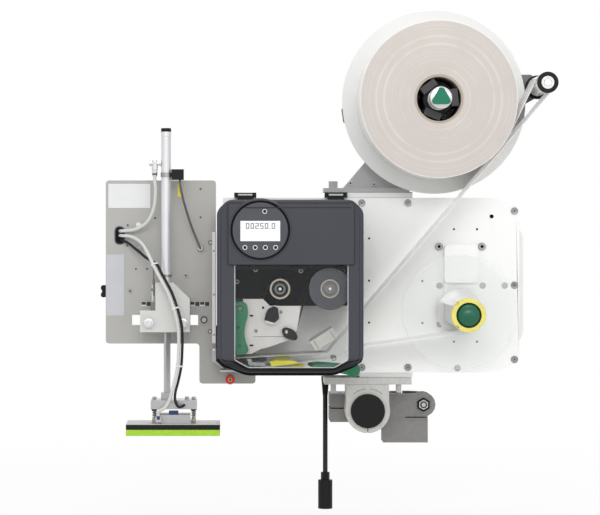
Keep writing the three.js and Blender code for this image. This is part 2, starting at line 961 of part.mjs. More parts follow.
function buildReelKnob() {
  const baseFrontY = knobFront + gripHeight;
  const disc = turned([
    [0, baseFrontY], [knobRadius * knobFaceShare, baseFrontY], [knobRadius, baseFrontY + knobBevel],
    [knobRadius, baseFrontY + knobBase], [knobStem, baseFrontY + knobBase],
    [knobStem, hubFront - seat], [0, hubFront - seat],
  ], reelX, reelZ);
  let grip = rodY(reelX, reelZ, gripLobe * gripCentreShare, knobFront, baseFrontY + lap);
  for (let i = 0; i < jawCount; i += 1) {
    const angle = turn / 4 + (turn * i) / jawCount;
    const lobe = new THREE.BoxGeometry(gripReach - gripLobe, gripHeight, gripLobe * 2);
    lobe.translate((gripReach - gripLobe) / 2, knobFront + (gripHeight + lap) / 2, 0);
    lobe.rotateY(-angle).translate(reelX, 0, reelZ);
    const tipX = reelX + (gripReach - gripLobe) * Math.cos(angle);
    const tipZ = reelZ + (gripReach - gripLobe) * Math.sin(angle);
    grip = join(grip, toSolid(lobe), rodY(tipX, tipZ, gripLobe, knobFront, baseFrontY + lap, smallSteps));
  }
  return disc.add(grip);
}

function buildUnwinder() {
  const flange = ringY(reelX, reelZ, reelFlangeRadius, axleRadius + runGap, webBack, flangeBack);
  piece('unwinder_bracket', buildUnwinderBracket(), lightGrey);
  piece('reel_flange', flange, lightGrey);
  piece('reel_hub', buildReelHub(), blackPlastic);
  piece('label_roll', ringY(reelX, reelZ, rollRadius, coreRadius, rollFront, webBack - seat), paper);
  piece('reel_knob', buildReelKnob(), greenPlastic);
}

// Dancer arm on the unwinder's axle, with the deflection roller
function buildDancerArm() {
  const along = Math.atan2(rollerZ - reelZ, rollerX - reelX);
  const reach = Math.hypot(rollerX - reelX, rollerZ - reelZ);
  const place = (u, v) => [
    reelX + u * Math.cos(along) - v * Math.sin(along),
    reelZ + u * Math.sin(along) + v * Math.cos(along),
  ];
  const plate = slabY(softPolygon([
    place(-armLeft, -armLeftHalf), place(0, -armHubHalf), place(reach - armRightHalf, -armRightHalf),
    place(reach, -rollerBackRing * armNoseShare), place(reach + rollerBackRing * armTipShare, 0),
    place(reach - rollerShaft, armRightHalf * armRootShare), place(reach - armRightHalf, armRightHalf),
    place(0, armHubHalf), place(-armLeft, armLeftHalf),
  ], cornerSteps), armFront, armBack);
  const shaft = rodY(rollerX, rollerZ, rollerShaft, rollerFront + seat, armFront + lap, smallSteps);
  const bore = rodY(reelX, reelZ, axleBossRadius - axleShoulder + runGap, armFront - through,
    armBack + through);
  return cut(plate.add(shaft), bore);
}

function buildRoller() {
  return turned([
    [rollerShaft + runGap, rollerBack], [rollerBackRing, rollerBack],
    [rollerBackRing, rollerBack - ringWidth], [rollerRadius, rollerBack - ringWidth],
    [rollerRadius, rollerFront + ringWidth], [rollerFrontRing, rollerFront + ringWidth],
    [rollerFrontRing, rollerFront], [rollerShaft + runGap, rollerFront],
    [rollerShaft + runGap, rollerBack],
  ], rollerX, rollerZ);
}

// The paper web: a strip of even thickness along a path in x and z
function strip(path) {
  const left = [];
  const right = [];
  path.forEach(([u, v], i) => {
    const [au, av] = path[Math.max(i - 1, 0)];
    const [bu, bv] = path[Math.min(i + 1, path.length - 1)];
    const size = Math.hypot(bu - au, bv - av);
    const nu = (-(bv - av) / size) * (webThickness / 2);
    const nv = ((bu - au) / size) * (webThickness / 2);
    left.push([u + nu, v + nv]);
    right.unshift([u - nu, v - nv]);
  });
  return slabY(polygon([...left, ...right]), rollFront, webBack - seat);
}

const webOff = seat + webThickness / 2 + seat;
const rollOffset = rollRadius + webOff;
const rollerOffset = rollerRadius + webOff;
const reelToRoller = Math.hypot(rollerX - reelX, rollerZ - reelZ);
const reelToRollerAngle = Math.atan2(rollerZ - reelZ, rollerX - reelX);
const crossing = Math.acos((rollOffset + rollerOffset) / reelToRoller);
const leaveRoll = reelToRollerAngle - crossing;
const meetRoller = leaveRoll + turn / 2;

function pointOn(x, z, radius, angle) {
  return [x + radius * Math.cos(angle), z + radius * Math.sin(angle)];
}

// The angle on the roller at which a straight strand to a given point leaves it
function leaveAngle(x, z) {
  const away = Math.atan2(z - rollerZ, x - rollerX);
  const distance = Math.hypot(x - rollerX, z - rollerZ);
  return away + Math.acos(rollerOffset / distance);
}

function buildWeb() {
  const leave = leaveAngle(guideX, guideZ);
  const splitAngle = (meetRoller + leave) / 2;
  const upper = [
    pointOn(reelX, reelZ, rollOffset, leaveRoll),
    ...circlePoints(rollerX, rollerZ, rollerOffset, meetRoller, splitAngle + webSplit, webSteps),
  ];
  const lower = [
    ...circlePoints(rollerX, rollerZ, rollerOffset, splitAngle - webSplit, leave, webSteps),
    [guideX, guideZ], [platenX, platenZ + platenRadius + webOff], [peelX, peelZ],
  ];
  const mandrelSide = mandrelRadius + seat + webThickness;
  const linerLowZ = trayTop + webOff * 2;
  const liner = [
    [linerStartX, linerStartZ], [linerLowX, linerLowZ], [linerFlatX, linerLowZ],
    [linerTurnX, linerTurnZ], [linerHoodX, linerHoodZ], [rewindX, rewindZ - mandrelSide],
  ];
  piece('label_web_upper', strip(upper), webPaper);
  piece('label_web_lower', strip(lower), webPaper);
  piece('liner_return', strip(liner), webPaper);
}

// Liner rewinder
function hexagon(x, z, radius) {
  const step = turn / hexSides;
  return polygon(circlePoints(x, z, radius, step / 2, turn - step / 2, hexSides - 1));
}

function buildRewinder() {
  const discBack = discFront + discThickness;
  const base = rodY(rewindX, rewindZ, bearingRadius, discBack + seat, discBack + seat + mandrelFlange,
    fineSteps);
  const hex = slabY(hexagon(rewindX, rewindZ, mandrelRadius), mandrelFront, discBack + seat + lap);
  const spindle = rodY(rewindX, rewindZ, axleRadius, discFront, panelThickness + spindleReach);
  const mandrel = join(base, hex, spindle);
  const rim = circlePoints(rewindX, rewindZ, discRadius, 0, turn * (1 - 1 / fineSteps), fineSteps - 1);
  const disc = slabY(softPolygon(rim, discEdge), discFront, discBack);
  const opening = slabY(
    hexagon(rewindX, rewindZ, mandrelRadius + seat), discFront - through, discBack + through);
  const ringFront = mandrelFront - seat - collarDepth;
  const ringBack = mandrelFront - seat;
  const ring = ringY(rewindX, rewindZ, collarRadius, domeRadius + knobRim, ringFront, ringBack);
  const dome = turned([
    ...domeShares.map(([across, up]) => [domeRadius * across, ringFront - domeRise * up]),
    [domeRadius, ringBack - knobBackRecess], [collarRadius - knobRim, ringBack - knobBackRecess],
    [collarRadius - knobRim, ringBack], [0, ringBack],
  ], rewindX, rewindZ);
  let knob = ring.add(dome);
  for (let i = 0; i < notchCount; i += 1) {
    const angle = (turn * (i + 1 / 2)) / notchCount;
    const notch = new THREE.BoxGeometry(notchDepth * 2, collarDepth / 2, notchWidth);
    notch.translate(collarRadius, ringFront, 0).rotateY(-angle).translate(rewindX, 0, rewindZ);
    knob = knob.subtract(toSolid(notch));
  }
  piece('rewind_mandrel', mandrel, lightGrey);
  piece('rewind_disc', disc.subtract(opening), clearSheet);
  piece('rewind_knob', knob, yellowPlastic);
}

// Hood with its window and hinges
function hoodOutline(inset) {
  const left = hoodLeft + inset;
  const right = hoodRight - inset;
  const top = hoodTop - inset;
  const bottom = hoodBottom + inset;
  const chamfer = hoodTopChamfer;
  return polygon([
    [left + hoodBottomChamferX, bottom], [right - hoodBottomChamferX, bottom],
    [right, bottom + hoodBottomChamferZ], [right, top - chamfer], [right - chamfer, top],
    [left + chamfer, top], [left, top - chamfer], [left, bottom + hoodBottomChamferZ],
  ]);
}

function windowOutline(grow) {
  const left = windowLeft - grow;
  const right = windowRight + grow;
  const bottom = windowBottom - grow;
  return polygon([
    [left + windowChamferX, bottom], [right - windowChamferX, bottom],
    [right, bottom + windowChamferZ], [right, windowTop + grow], [left, windowTop + grow],
    [left, bottom + windowChamferZ],
  ]);
}

function buildHood() {
  let shell = slabY(hoodOutline(0), hoodFront, hoodBack);
  shell = shell.subtract(slabY(hoodOutline(hoodWall), hoodFront + hoodWall, hoodBack + through));
  const fascia = block(fasciaLeft, fasciaRight, hoodFront - fasciaDepth, hoodFront + hoodWall / 2,
    windowTop, hoodTop);
  shell = shell.add(fascia);
  const boreDepth = dialThickness + dialRecess;
  const dialSeat = rodY(dialX, dialZ, dialBore, hoodFront - fasciaDepth - through,
    hoodFront - fasciaDepth + boreDepth, fineSteps);
  const hubHole = rodY(dialX, dialZ, dialHubRadius + runGap, hoodFront - through,
    hoodFront + hoodWall + through);
  const sideNotch = block(hoodLeft - through, hoodLeft + hoodWall * 2, hoodFront + sillDepth,
    hoodBack + through, hoodBottom - through, leftNotchTop);
  const webSlot = block(hoodRight - hoodWall * 2, hoodRight + through, webSlotFront,
    hoodBack + through, webSlotBottom, webSlotTop);
  const underSlot = block(hoodLeft - through, hoodRight + through, hoodFront + sillDepth,
    hoodBack + through, hoodBottom - through, hoodBottom + hoodBottomChamferZ + hoodWall * 2);
  const opening = slabY(windowOutline(0), hoodFront - through, hoodFront + hoodWall + through);
  shell = cut(shell, dialSeat, hubHole, opening, sideNotch, webSlot, underSlot);
  for (const x of [hingeLeftX, hingeRightX]) {
    const half = hingeWidth / 2 - hingeCheek - runGap;
    shell = join(
      shell,
      block(x - half, x + half, hingeAxisY - leafReach, hingeAxisY, hoodTop - hoodWall, hingeAxisZ + lap),
      rodX(hingeAxisY, hingeAxisZ, knuckleRadius, x - half, x + half, smallSteps),
      rodX(hingeAxisY, hingeAxisZ, pinRadius, x - half - hingeCheek, x + half + hingeCheek, smallSteps));
  }
  return shell;
}

function buildHinge(x) {
  const half = hingeWidth / 2;
  const bottom = panelTop + seat;
  const top = hingeAxisZ + knuckleRadius + seat;
  const backFront = hingeAxisY + knuckleRadius + runGap * 2;
  const backRear = hingeFootDepth / 2;
  const foot = block(x - half, x + half, seat, hingeFootDepth, bottom, bottom + hingeCheek / 2);
  let solid = foot.add(block(x - half, x + half, backFront, backRear, bottom, top));
  for (const side of [x - half, x + half - hingeCheek]) {
    solid = solid.add(
      block(side, side + hingeCheek, hingeAxisY - knuckleRadius, backRear, bottom, top));
  }
  const bore = rodX(
    hingeAxisY, hingeAxisZ, pinRadius + runGap, x - half - through, x + half + through, smallSteps);
  return solid.subtract(bore);
}

// Control dial, its display recess and its buttons
const dialFace = hoodFront - fasciaDepth + dialRecess;
const buttonPlaces = { button_top: [dialX + buttonTopX, dialZ + buttonTopRise] };
const buttonRow = ['button_one', 'button_two', 'button_three', 'button_four'];
buttonRow.forEach((name, i) => {
  const across = (i - (buttonRow.length - 1) / 2) * buttonPitch;
  buttonPlaces[name] = [dialX + across, dialZ - buttonRowDrop];
});

function buildDial() {
  const back = dialFace + dialThickness - seat;
  let dial = turned([
    [0, dialFace], [dialRadius, dialFace], [dialRadius, dialFace - dialRecess],
    [dialRim, dialFace - dialRecess], [dialRim, back], [dialHubRadius, back],
    [dialHubRadius, hoodFront + hoodWall], [0, hoodFront + hoodWall],
  ], dialX, dialZ);
  const displayZ = dialZ - displayDrop;
  dial = dial.subtract(block(dialX - displayWidth / 2, dialX + displayWidth / 2, dialFace - through,
    dialFace + displayRecess, displayZ - displayHeight / 2, displayZ + displayHeight / 2));
  for (const [x, z] of Object.values(buttonPlaces)) {
    dial = dial.subtract(rodY(x, z, buttonRadius + seat, dialFace - through,
      dialFace - buttonProud + buttonHeight + buttonProud + seat, smallSteps));
  }
  return dial;
}

function buildDialGroup() {
  piece('control_dial', buildDial(), blackPlastic);
  for (const [name, [x, z]] of Object.entries(buttonPlaces)) {
    const front = dialFace - buttonProud;
    piece(name, rodY(x, z, buttonRadius, front, front + buttonHeight, smallSteps), brightMetal);
  }
}

// Ribbon deck, print head and platen
const ribbonPlateFront = ribbonPlateBack - ribbonPlateThickness;

function buildRibbonPlate() {
  const outline = polygon([
    [ribbonPlateLeft, ribbonPlateStep], [ribbonStepX, ribbonPlateStep],
    [ribbonStepX + ribbonStepRun, ribbonPlateLow], [ribbonPlateRight, ribbonPlateLow],
    [ribbonPlateRight, ribbonPlateTop], [ribbonPlateLeft, ribbonPlateTop],
  ]);
  let deck = slabY(outline, ribbonPlateFront, ribbonPlateBack);
  const posts = [
    [ribbonPlateLeft + postRadius * 2, ribbonPlateTop - postRadius * 2],
    [ribbonPlateRight - postRadius * 2, ribbonPlateTop - postRadius * 2],
    [ribbonPlateLeft + postRadius * 2, ribbonPlateStep + postRadius * 2],
    [ribbonPlateRight - postRadius * 2, ribbonPlateLow + postRadius * 2],
  ];
  for (const [x, z] of posts) {
    deck = deck.add(rodY(x, z, postRadius, ribbonPlateFront + lap, -seat, smallSteps));
  }
  for (const [x, z] of [[ribbonSupplyX, ribbonSupplyZ], [ribbonTakeupX, ribbonTakeupZ]]) {
    deck = deck.add(rodY(x, z, spindlePin, spindleFront - spindleRecess / 2, -seat, screwSteps));
  }
  return deck;
}

function buildSpindle(x, z, outer, core) {
  const bore = spindlePin + runGap;
  return turned([
    [bore, spindleBack], [outer, spindleBack], [outer, spindleFront + spindleRim],
    [core, spindleFront + spindleRim], [core, spindleFront], [core - coreWall, spindleFront],
    [core - coreWall, spindleFront + spindleRecess], [spindleHub, spindleFront + spindleRecess],
    [spindleHub, spindleFront + spindleRim / 2], [bore, spindleFront + spindleRim / 2],
    [bore, spindleBack],
  ], x, z);
}

function buildPrintHead() {
  const side = slabY(polygon([
    [headPlateLeft, headHeelZ], [headLowX, headLowZ], [headToeX, headToeZ], [headShinX, headShinZ],
    [headRightFoot, headMidZ], [headPlateRight, headPlateTop - headStepDrop],
    [headStepX + headStepDrop, headPlateTop - headStepDrop], [headStepX, headPlateTop],
    [headPlateLeft, headPlateTop],
  ]), headPlateFront, headPlateFront + headPlateThickness);
  const bodyLeft = headPlateLeft;
  const bodyRight = headRightFoot - headBodyInset;
  const body = slabY(polygon([
    [bodyLeft, headBodyBottom], [bodyLeft + headBodyInset, headBodyBottom], [headToeX, headBodyToeZ],
    [bodyRight, headMidZ], [bodyRight, headMidZ + headBodyInset], [bodyLeft, headMidZ + headBodyInset],
  ]), headPlateFront + lap, -padCarrierThickness - seat * 2);
  const stud = rodY(bodyRight - postRadius, headMidZ + postRadius, postRadius,
    -padCarrierThickness * 2, -seat, smallSteps);
  const lug = slabY(
    softPolygon(lugOutline, lugCorner), headPlateFront - lugThickness, headPlateFront + lap);
  const plateBack = headPlateFront + headPlateThickness;
  const pivot = rodY(
    leverPivotX, leverPivotZ, leverPinRadius, leverFront - lap, plateBack, smallSteps);
  const pivotLug = slabY(softPolygon(rectangle(leverPivotX - pivotLugReach, headPlateLeft + pivotLugLap,
    leverPivotZ - pivotLugHalf, leverPivotZ + pivotLugHalf), lugCorner), headPlateFront, plateBack);
  const latchPin = rodY(latchX, latchZ, leverPinRadius / 2, headPlateFront - latchThickness - through,
    headPlateFront + lap, screwSteps);
  return join(side, body, stud, lug, pivot, pivotLug, latchPin);
}

function buildPlaten() {
  return turned([
    [0, platenFront], [platenShaft, platenFront], [platenShaft, headPlateFront],
    [platenRadius, headPlateFront], [platenRadius, webBack], [platenShaft, webBack],
    [platenShaft, panelThickness + platenTail], [0, panelThickness + platenTail],
  ], platenX, platenZ, roundSteps);
}

// Lower guide: tray, side plate and dispensing tongue
function buildLowerGuide() {
  const back = -padCarrierThickness - seat * 2;
  const trayBottom = trayTop - trayThickness;
  const tray = block(trayLeft, trayRight, trayFront, back, trayBottom, trayTop);
  const foot = rodY(trayRight - postRadius, trayTop - trayThickness / 2, postRadius / 2,
    trayFront / 2, -seat, smallSteps);
  const side = slabX(polygon([
    [sideToeFront, sideBottom], [back, sideBottom], [back, sideTop], [sideFront, sideTop],
    [sideFront, sideKnee], [sideToeFront, sideToeTop],
  ]), sideLeft, sideLeft + sideThickness);
  const tongue = new THREE.BoxGeometry(tongueLength, Math.abs(sideToeFront - back), trayThickness);
  tongue.rotateY(tongueAngle);
  tongue.translate(sideLeft + sideThickness / 2 + (tongueLength / 2) * Math.cos(tongueAngle),
    (sideToeFront + back) / 2, sideBottom + lap - (tongueLength / 2) * Math.sin(tongueAngle));
  return join(tray, foot, side, toSolid(tongue));
}

// Levers and knobs of the print unit
function buildHeadLever() {
  const back = leverFront + leverThickness;
  const outline = leverOutline.map(([u, v]) => [leverPivotX + u, leverPivotZ + v]);
  const bore = rodY(leverPivotX, leverPivotZ, leverPinRadius + runGap, leverFront - through,
    back + through, smallSteps);
  return slabY(softPolygon(outline, leverCorner), leverFront, back).subtract(bore);
}

function buildLatchLever() {
  const tipX = latchX + latchReach * Math.cos(latchAngle);
  const tipZ = latchZ + latchReach * Math.sin(latchAngle);
  const back = headPlateFront - seat;
  const points = [
    ...circlePoints(
      latchX, latchZ, latchHalf, latchAngle + turn / 4, latchAngle + (turn * 3) / 4, latchSteps),
    ...circlePoints(tipX, tipZ, latchHalf, latchAngle - turn / 4, latchAngle + turn / 4, latchSteps),
  ];
  const bore = rodY(latchX, latchZ, leverPinRadius / 2 + runGap, back - latchThickness - through,
    back + through, smallSteps);
  return slabY(polygon(points), back - latchThickness, back).subtract(bore);
}

function buildFeedLever() {
  const angle = Math.atan2(feedLobeZ - feedPivotZ, feedLobeX - feedPivotX);
  const bulge = turn * feedLobeShare;
  const back = feedFront + feedThickness;
  const points = [
    ...circlePoints(
      feedPivotX, feedPivotZ, feedHalf, angle + turn / 4, angle + (turn * 3) / 4, feedHeelSteps),
    ...circlePoints(
      feedLobeX, feedLobeZ, feedLobeRadius, angle - bulge, angle + bulge, feedLobeSteps),
  ];
  const bore = rodY(
    feedPivotX, feedPivotZ, feedPinRadius, feedFront - through, back + through, smallSteps);
  return slabY(polygon(points), feedFront, back).subtract(bore);
}

function knobGrip(x, z, radius, waistShare, count, front, back) {
  const points = [];
  for (let i = 0; i < count * 2; i += 1) {
    const reach = i % 2 ? radius * waistShare : radius;
    points.push(pointOn(x, z, reach, (turn * i) / (count * 2)));
  }
  return slabY(polygon(points), front, back);
}

function buildRedKnob() {
  const grip = knobGrip(redKnobX, redKnobZ, redKnobRadius, fluteShare, flutes, redKnobFront, redKnobBack);
  return grip.subtract(rodY(redKnobX, redKnobZ, redPostRadius + runGap,
    redKnobBack - redPostReach - seat, redKnobBack + through, smallSteps));
}

function buildStarKnob() {
  const grip = knobGrip(starKnobX, starKnobZ, starKnobRadius, starWaistShare, starPoints,
    starStandoff, starStandoff + starKnobHeight);
  return grip.subtract(rodY(starKnobX, starKnobZ, starStud + runGap, starStandoff - through,
    starStandoff + starKnobHeight / 2 + seat, smallSteps));
}

// Applicator plate with the cylinder, its guide block and the valve block
const carrierFront = -padCarrierThickness - seat;
const carrierBack = -seat;

function buildCarrier() {
  const outline = softPolygon([
    [carrierLeft, carrierTop], [carrierLeft, carrierBottom], [tabLeft, carrierBottom],
    [tabLeft, tabBottom], [tabRight, tabBottom], [tabRight, tabTop], [carrierRight, tabTop],
    [carrierRight, carrierTop],
  ], carrierCorner);
  let plate = slabY(outline, carrierFront, carrierBack);
  const cutFront = carrierFront - through;
  const cutBack = carrierBack + through;
  const rootFront = carrierFront + lap;
  const rootBack = carrierBack - lap;
  const slot = block(slotLeft, slotRight, cutFront, cutBack, slotBottom, slotBottom + slotHeight);
  const grommet = slabY(softPolygon(rectangle(
    grommetX - grommetHalfWidth, grommetX + grommetHalfWidth,
    grommetZ - grommetHalfHeight, grommetZ + grommetHalfHeight), grommetHalfWidth), cutFront, cutBack);
  const platenClear = rodY(platenX, platenZ, platenShaft + runGap, cutFront, cutBack, smallSteps);
  plate = join(
    plate,
    rodY(leadGlandX, leadGlandZ, leadGlandRadius, carrierFront - leadGlandHeight, rootFront, smallSteps),
    rodY(redKnobX, redKnobZ, redPostRadius, redKnobBack - redPostReach, rootFront, smallSteps),
    rodY(redKnobX, redKnobZ, redBossRadius, redKnobBack + seat, rootFront, smallSteps),
    rodY(starKnobX, starKnobZ, starStud, rootBack, starStandoff + starKnobHeight / 2, smallSteps),
    rodY(starKnobX + starStud, starKnobZ, starFootRadius, rootBack, starStandoff - seat, smallSteps));
  return cut(plate, slot, grommet, platenClear);
}

function buildCylinder() {
  const bottom = blockUpTop + seat;
  const barrel = turned([
    [rodRadius + runGap, bottom], [barrelRadius, bottom], [barrelRadius, barrelTop - barrelChamfer],
    [barrelRadius - barrelChamferRun, barrelTop], [0, barrelTop], [0, barrelTop - barrelCapHeight],
    [barrelBore, barrelTop - barrelCapHeight],
    [barrelBore, bottom + barrelHead], [rodRadius + runGap, bottom + barrelHead],
    [rodRadius + runGap, bottom],
  ], 0, 0, roundSteps);
  const upright = toGeometry(barrel).rotateX(Math.PI / 2).translate(cylinderX, cylinderY, 0);
  const wall = cylinderX - barrelRadius;
  const arm = rodX(
    cylinderY, elbowZ, elbowRadius, wall - elbowReach + elbowInset, wall + lap, smallSteps);
  const body = rodZ(
    elbowX, cylinderY, elbowBodyRadius, elbowZ - elbowDrop, elbowZ + elbowRadius, smallSteps);
  return join(toSolid(upright), arm, body);
}

function buildGuideBlock() {
  const outline = polygon([
    [blockLowLeft, blockFoot], [blockLowRight, blockFoot], [blockLowRight, blockShoulderZ],
    [blockUpRight, blockUpTop], [blockUpLeft, blockUpTop], [blockUpLeft, blockLowTop],
    [blockLowLeft, blockLowTop],
  ]);
  const back = carrierFront - seat;
  let solid = slabY(outline, blockFrontY, back);
  for (const x of [cylinderX - boltX, cylinderX + boltX]) {
    solid = solid.add(
      rodY(x, boltZ, boltHeadRadius, blockFrontY - boltHeadHeight, blockFrontY + lap, hexSides));
  }
  const stopX = blockUpLeft - stopInset;
  const stopY = blockFrontY + stopDepth;
  const stopFoot = blockLowTop - lap;
  const stopScrew = rodZ(stopX, stopY, stopRadius, stopFoot, blockUpTop - stopDrop, smallSteps);
  const stopHead = rodZ(stopX, stopY, stopHeadRadius, stopFoot, blockLowTop + stopHeadHeight, hexSides);
  const bore = rodRadius + runGap;
  const low = blockFoot - through;
  const high = blockUpTop + through;
  const pistonBore = rodZ(cylinderX, cylinderY, bore, low, high, smallSteps);
  const guideBore = rodZ(guideRodX, guideRodY, bore, low, high, smallSteps);
  return cut(join(solid, stopScrew, stopHead), pistonBore, guideBore);
}

function buildValveBlock() {
  const back = valveFront + valveDepth;
  let solid = block(valveLeft, valveRight, valveFront, valveFront + valveDepth / 2, valveBottom, valveTop);
  const pitch = (valveRight - valveLeft) / valveCount;
  for (let i = 0; i < valveCount; i += 1) {
    const x = valveLeft + pitch * i + (pitch * valveGapShare) / 2;
    solid = solid.add(block(x, x + pitch * (1 - valveGapShare), valveFront + lap, back,
      valveBottom + postRadius, valveTop - postRadius));
  }
  for (const x of [valveLeft + valvePostLeft, valveRight - valvePostInset]) {
    for (const z of [valveBottom + valvePostInset, valveTop - valvePostInset]) {
      solid = solid.add(rodY(x, z, postRadius, 0, valveFront + lap, smallSteps));
    }
  }
  return solid;
}

// Pad carriage, pad and springs
const springCentreY = (barFront + barBack) / 2;
const springPlaces = {
  spring_left: barLeft + springInset,
  spring_right: barRight - springInset,
};

function buildCarriage() {
  const bar = block(barLeft, barRight, barFront, barBack, barBottom, barTop);
  const foot = barTop - lap;
  const rod = rodZ(cylinderX, cylinderY, rodRadius, foot, pistonTop, smallSteps);
  const piston = rodZ(cylinderX, cylinderY, barrelBore - runGap, pistonTop - pistonHeight, pistonTop);
  const guide = rodZ(guideRodX, guideRodY, rodRadius, foot, guideRodTop, smallSteps);
  const collar = rodZ(cylinderX, cylinderY, collarOuter, foot, collarTop, smallSteps);
  const bolt = rodZ(barRight - barBoltInset, barFront + barBoltDepth, barBoltRadius, foot,
    barTop + barBoltHeight, hexSides);
  const gland = rodY(barRight - barGlandInset, (barTop + barBottom) / 2, barBoltRadius,
    barFront - barGlandReach, barFront + lap, hexSides);
  let solid = join(bar, rod, piston, guide, collar, bolt, gland);
  for (const x of Object.values(springPlaces)) {
    solid = solid.subtract(rodZ(x, springCentreY, springBoltRadius + runGap, barBottom - through,
      barTop + through, smallSteps));
  }
  return solid;
}

function buildPadBase() {
  const plate = block(padLeft, padRight, padFront, padBack, padTop - padPlate, padTop);
  const box = block(manifoldLeft, manifoldRight, barFront, barBack, padTop - padPlate / 2, manifoldTop);
  const fittingLeft = manifoldLeft - fittingInset;
  const fittingTop = manifoldTop - fittingDrop;
  const fitting = block(fittingLeft, fittingLeft + fittingSize, barFront - fittingSize,
    barFront + lap, fittingTop - fittingSize, fittingTop);
  const blueFront = barFront + blueInset;
  const item = block(blueLeft, blueRight, blueFront, blueFront + blueDepth, manifoldTop - lap, blueTop);
  let solid = join(plate, box, fitting, item);
  for (const x of Object.values(springPlaces)) {
    solid = join(
      solid,
      rodZ(x, springCentreY, springBoltRadius, padTop - lap, springBoltTop, smallSteps),
      rodZ(x, springCentreY, springBoltHead, padTop - padPlate / 2, nutTop, hexSides),
      rodZ(x, springCentreY, springBoltHead, barTop + seat, springBoltTop, hexSides));
  }
  return solid;
}

// An open coil that winds from its lower seat to its upper one
function buildSpring(x) {
  const low = nutTop + seat + wireRadius;
  const high = barBottom - seat - wireRadius;
  const count = springCurls * curlSteps;
  const points = [];
  for (let i = 0; i <= count; i += 1) {
    const angle = (turn * i) / curlSteps;
    const z = low + ((high - low) * i) / count;
    points.push(new THREE.Vector3(
      x + springRadius * Math.cos(angle), springCentreY + springRadius * Math.sin(angle), z));
  }
  const rings = points.map((point, i) => {
    const angle = (turn * i) / curlSteps;
    const out = new THREE.Vector3(Math.cos(angle), Math.sin(angle), 0);
    const up = new THREE.Vector3(0, 0, 1);
    return circlePoints(0, 0, wireRadius, 0, turn * (1 - 1 / wireSides), wireSides - 1).map(
      ([u, v]) => point.clone().addScaledVector(out, u).addScaledVector(up, v));
  });
  const places = rings.flat().flatMap((p) => [p.x, p.y, p.z]);
  const index = [];
  for (let i = 0; i < count; i += 1) {
    for (let k = 0; k < wireSides; k += 1) {
      const a = i * wireSides + k;
      const b = i * wireSides + ((k + 1) % wireSides);
      index.push(a, b, a + wireSides, b, b + wireSides, a + wireSides);
    }
  }
  for (let k = 1; k < wireSides - 1; k += 1) {
    const end = count * wireSides;
    index.push(0, k + 1, k, end, end + k, end + k + 1);
  }
  const geometry = new THREE.BufferGeometry();
  geometry.setAttribute('position', new THREE.BufferAttribute(new Float32Array(places), 3));
  geometry.setIndex(index);
  return toSolid(geometry);
}

// Motor and board inside the housing
function buildMotor() {
  const front = housingFront + seat;
  const half = motorSize / 2;
  const back = front + motorLength;
  const outline = rectangle(motorX - half, motorX + half, motorZ - half, motorZ + half);
  const can = slabY(softPolygon(outline, carrierCorner), front, back);
  return can.add(rodY(motorX, motorZ, motorShaft, back - lap, back + motorShaftReach, smallSteps));
}

function buildBoard() {
  const front = panelThickness + boardStandoff;
  let board = block(boardLeft, boardRight, front, front + boardThickness, boardBottom, boardTop);
  const inset = postRadius * 2;
  for (const x of [boardLeft + inset, boardRight - inset]) {
    for (const z of [boardBottom + inset, boardTop - inset]) {
      board = board.add(rodY(x, z, postRadius / 2, panelThickness + seat, front + lap, smallSteps));
    }
  }
  const chipBottom = boardBottom + chipWidth;
  for (let i = 0; i < chipCount; i += 1) {
    const x = boardLeft + chipInset + chipPitch * i;
    board = board.add(
      block(x, x + chipWidth, front + lap, front + chipHeight, chipBottom, chipBottom + chipWidth));
  }
  return board;
}

// Hoses and leads along their hung routes
const valveHoseRoute = [
  [-377.4, -54, 415.7], [-377.4, -54, 408], [-376, -52, 393], [-379, -46, 362], [-391, -36, 337],
  [-411, -25, 324], [-432, -16, 321], [-441, -6, 320.5], [-441, 4, 320.5], [-441, 15.7, 320.5],
];
const padHoseRoute = [
  [-441, 15.7, 312.5], [-441, 4, 312.5], [-441, -6, 312.5], [-434, -16, 312], [-422, -23, 311],
  [-410, -31, 306], [-400, -42, 298], [-392, -54, 286], [-385, -66, 273], [-378, -76, 259],
  [-370, -83, 244], [-361, -88, 228], [-353, -90, 213], [-347, -92, 198], [-342, -94, 183],
  [-338, -95, 168], [-335, -95, 151], [-334, -95, 131], [-334.5, -95, 110], [-336, -95, 86],
  [-341, -95, 61], [-345.5, -95, 44], [-350, -94, 28], [-358, -92, 14], [-368, -88, 7],
  [-370, -86, 3.5], [-370, -86, -2.1],
];

// The cable is tied to the right of the hose, a little behind it
function beside(route) {
  return route.slice(1, -1).map(([x, y, z], i) => {
    const before = route[i];
    const after = route[i + 2];
    const run = Math.hypot(after[0] - before[0], after[2] - before[2]);
    return [
      x + (bundleSide * (before[2] - after[2])) / run,
      y + bundleBack,
      z + (bundleSide * (after[0] - before[0])) / run,
    ];
  });
}
const padCableRoute = [
  [-441, 15.7, 304.5], [-441, 4, 304.5], [-441, -6, 304.5], [-435, -15, 303.5], [-424, -21, 298],
  [-414, -26, 290], [-405, -34, 283], [-395, -46, 275], [-385, -58, 269],
  ...beside(padHoseRoute.slice(bundleFirst, bundleLast)),
  [-341, -96, 30], [-338.5, -98, 20], [-334, -98, 15], [-329, -96.5, 15.5],
  [-325.5, -92, 17.3], [-325.5, -87.4, 17.3],
];
const sensorLeadRoute = [
  [-333, -54, 409.9], [-333, -54, 404], [-331, -51, 391], [-327, -43, 373], [-321, -35, 352],
  [-314, -28, 330], [-305, -24, 307], [-299.5, -23, 294], [-298, -20.5, 290], [-298, -16.6, 290],
];

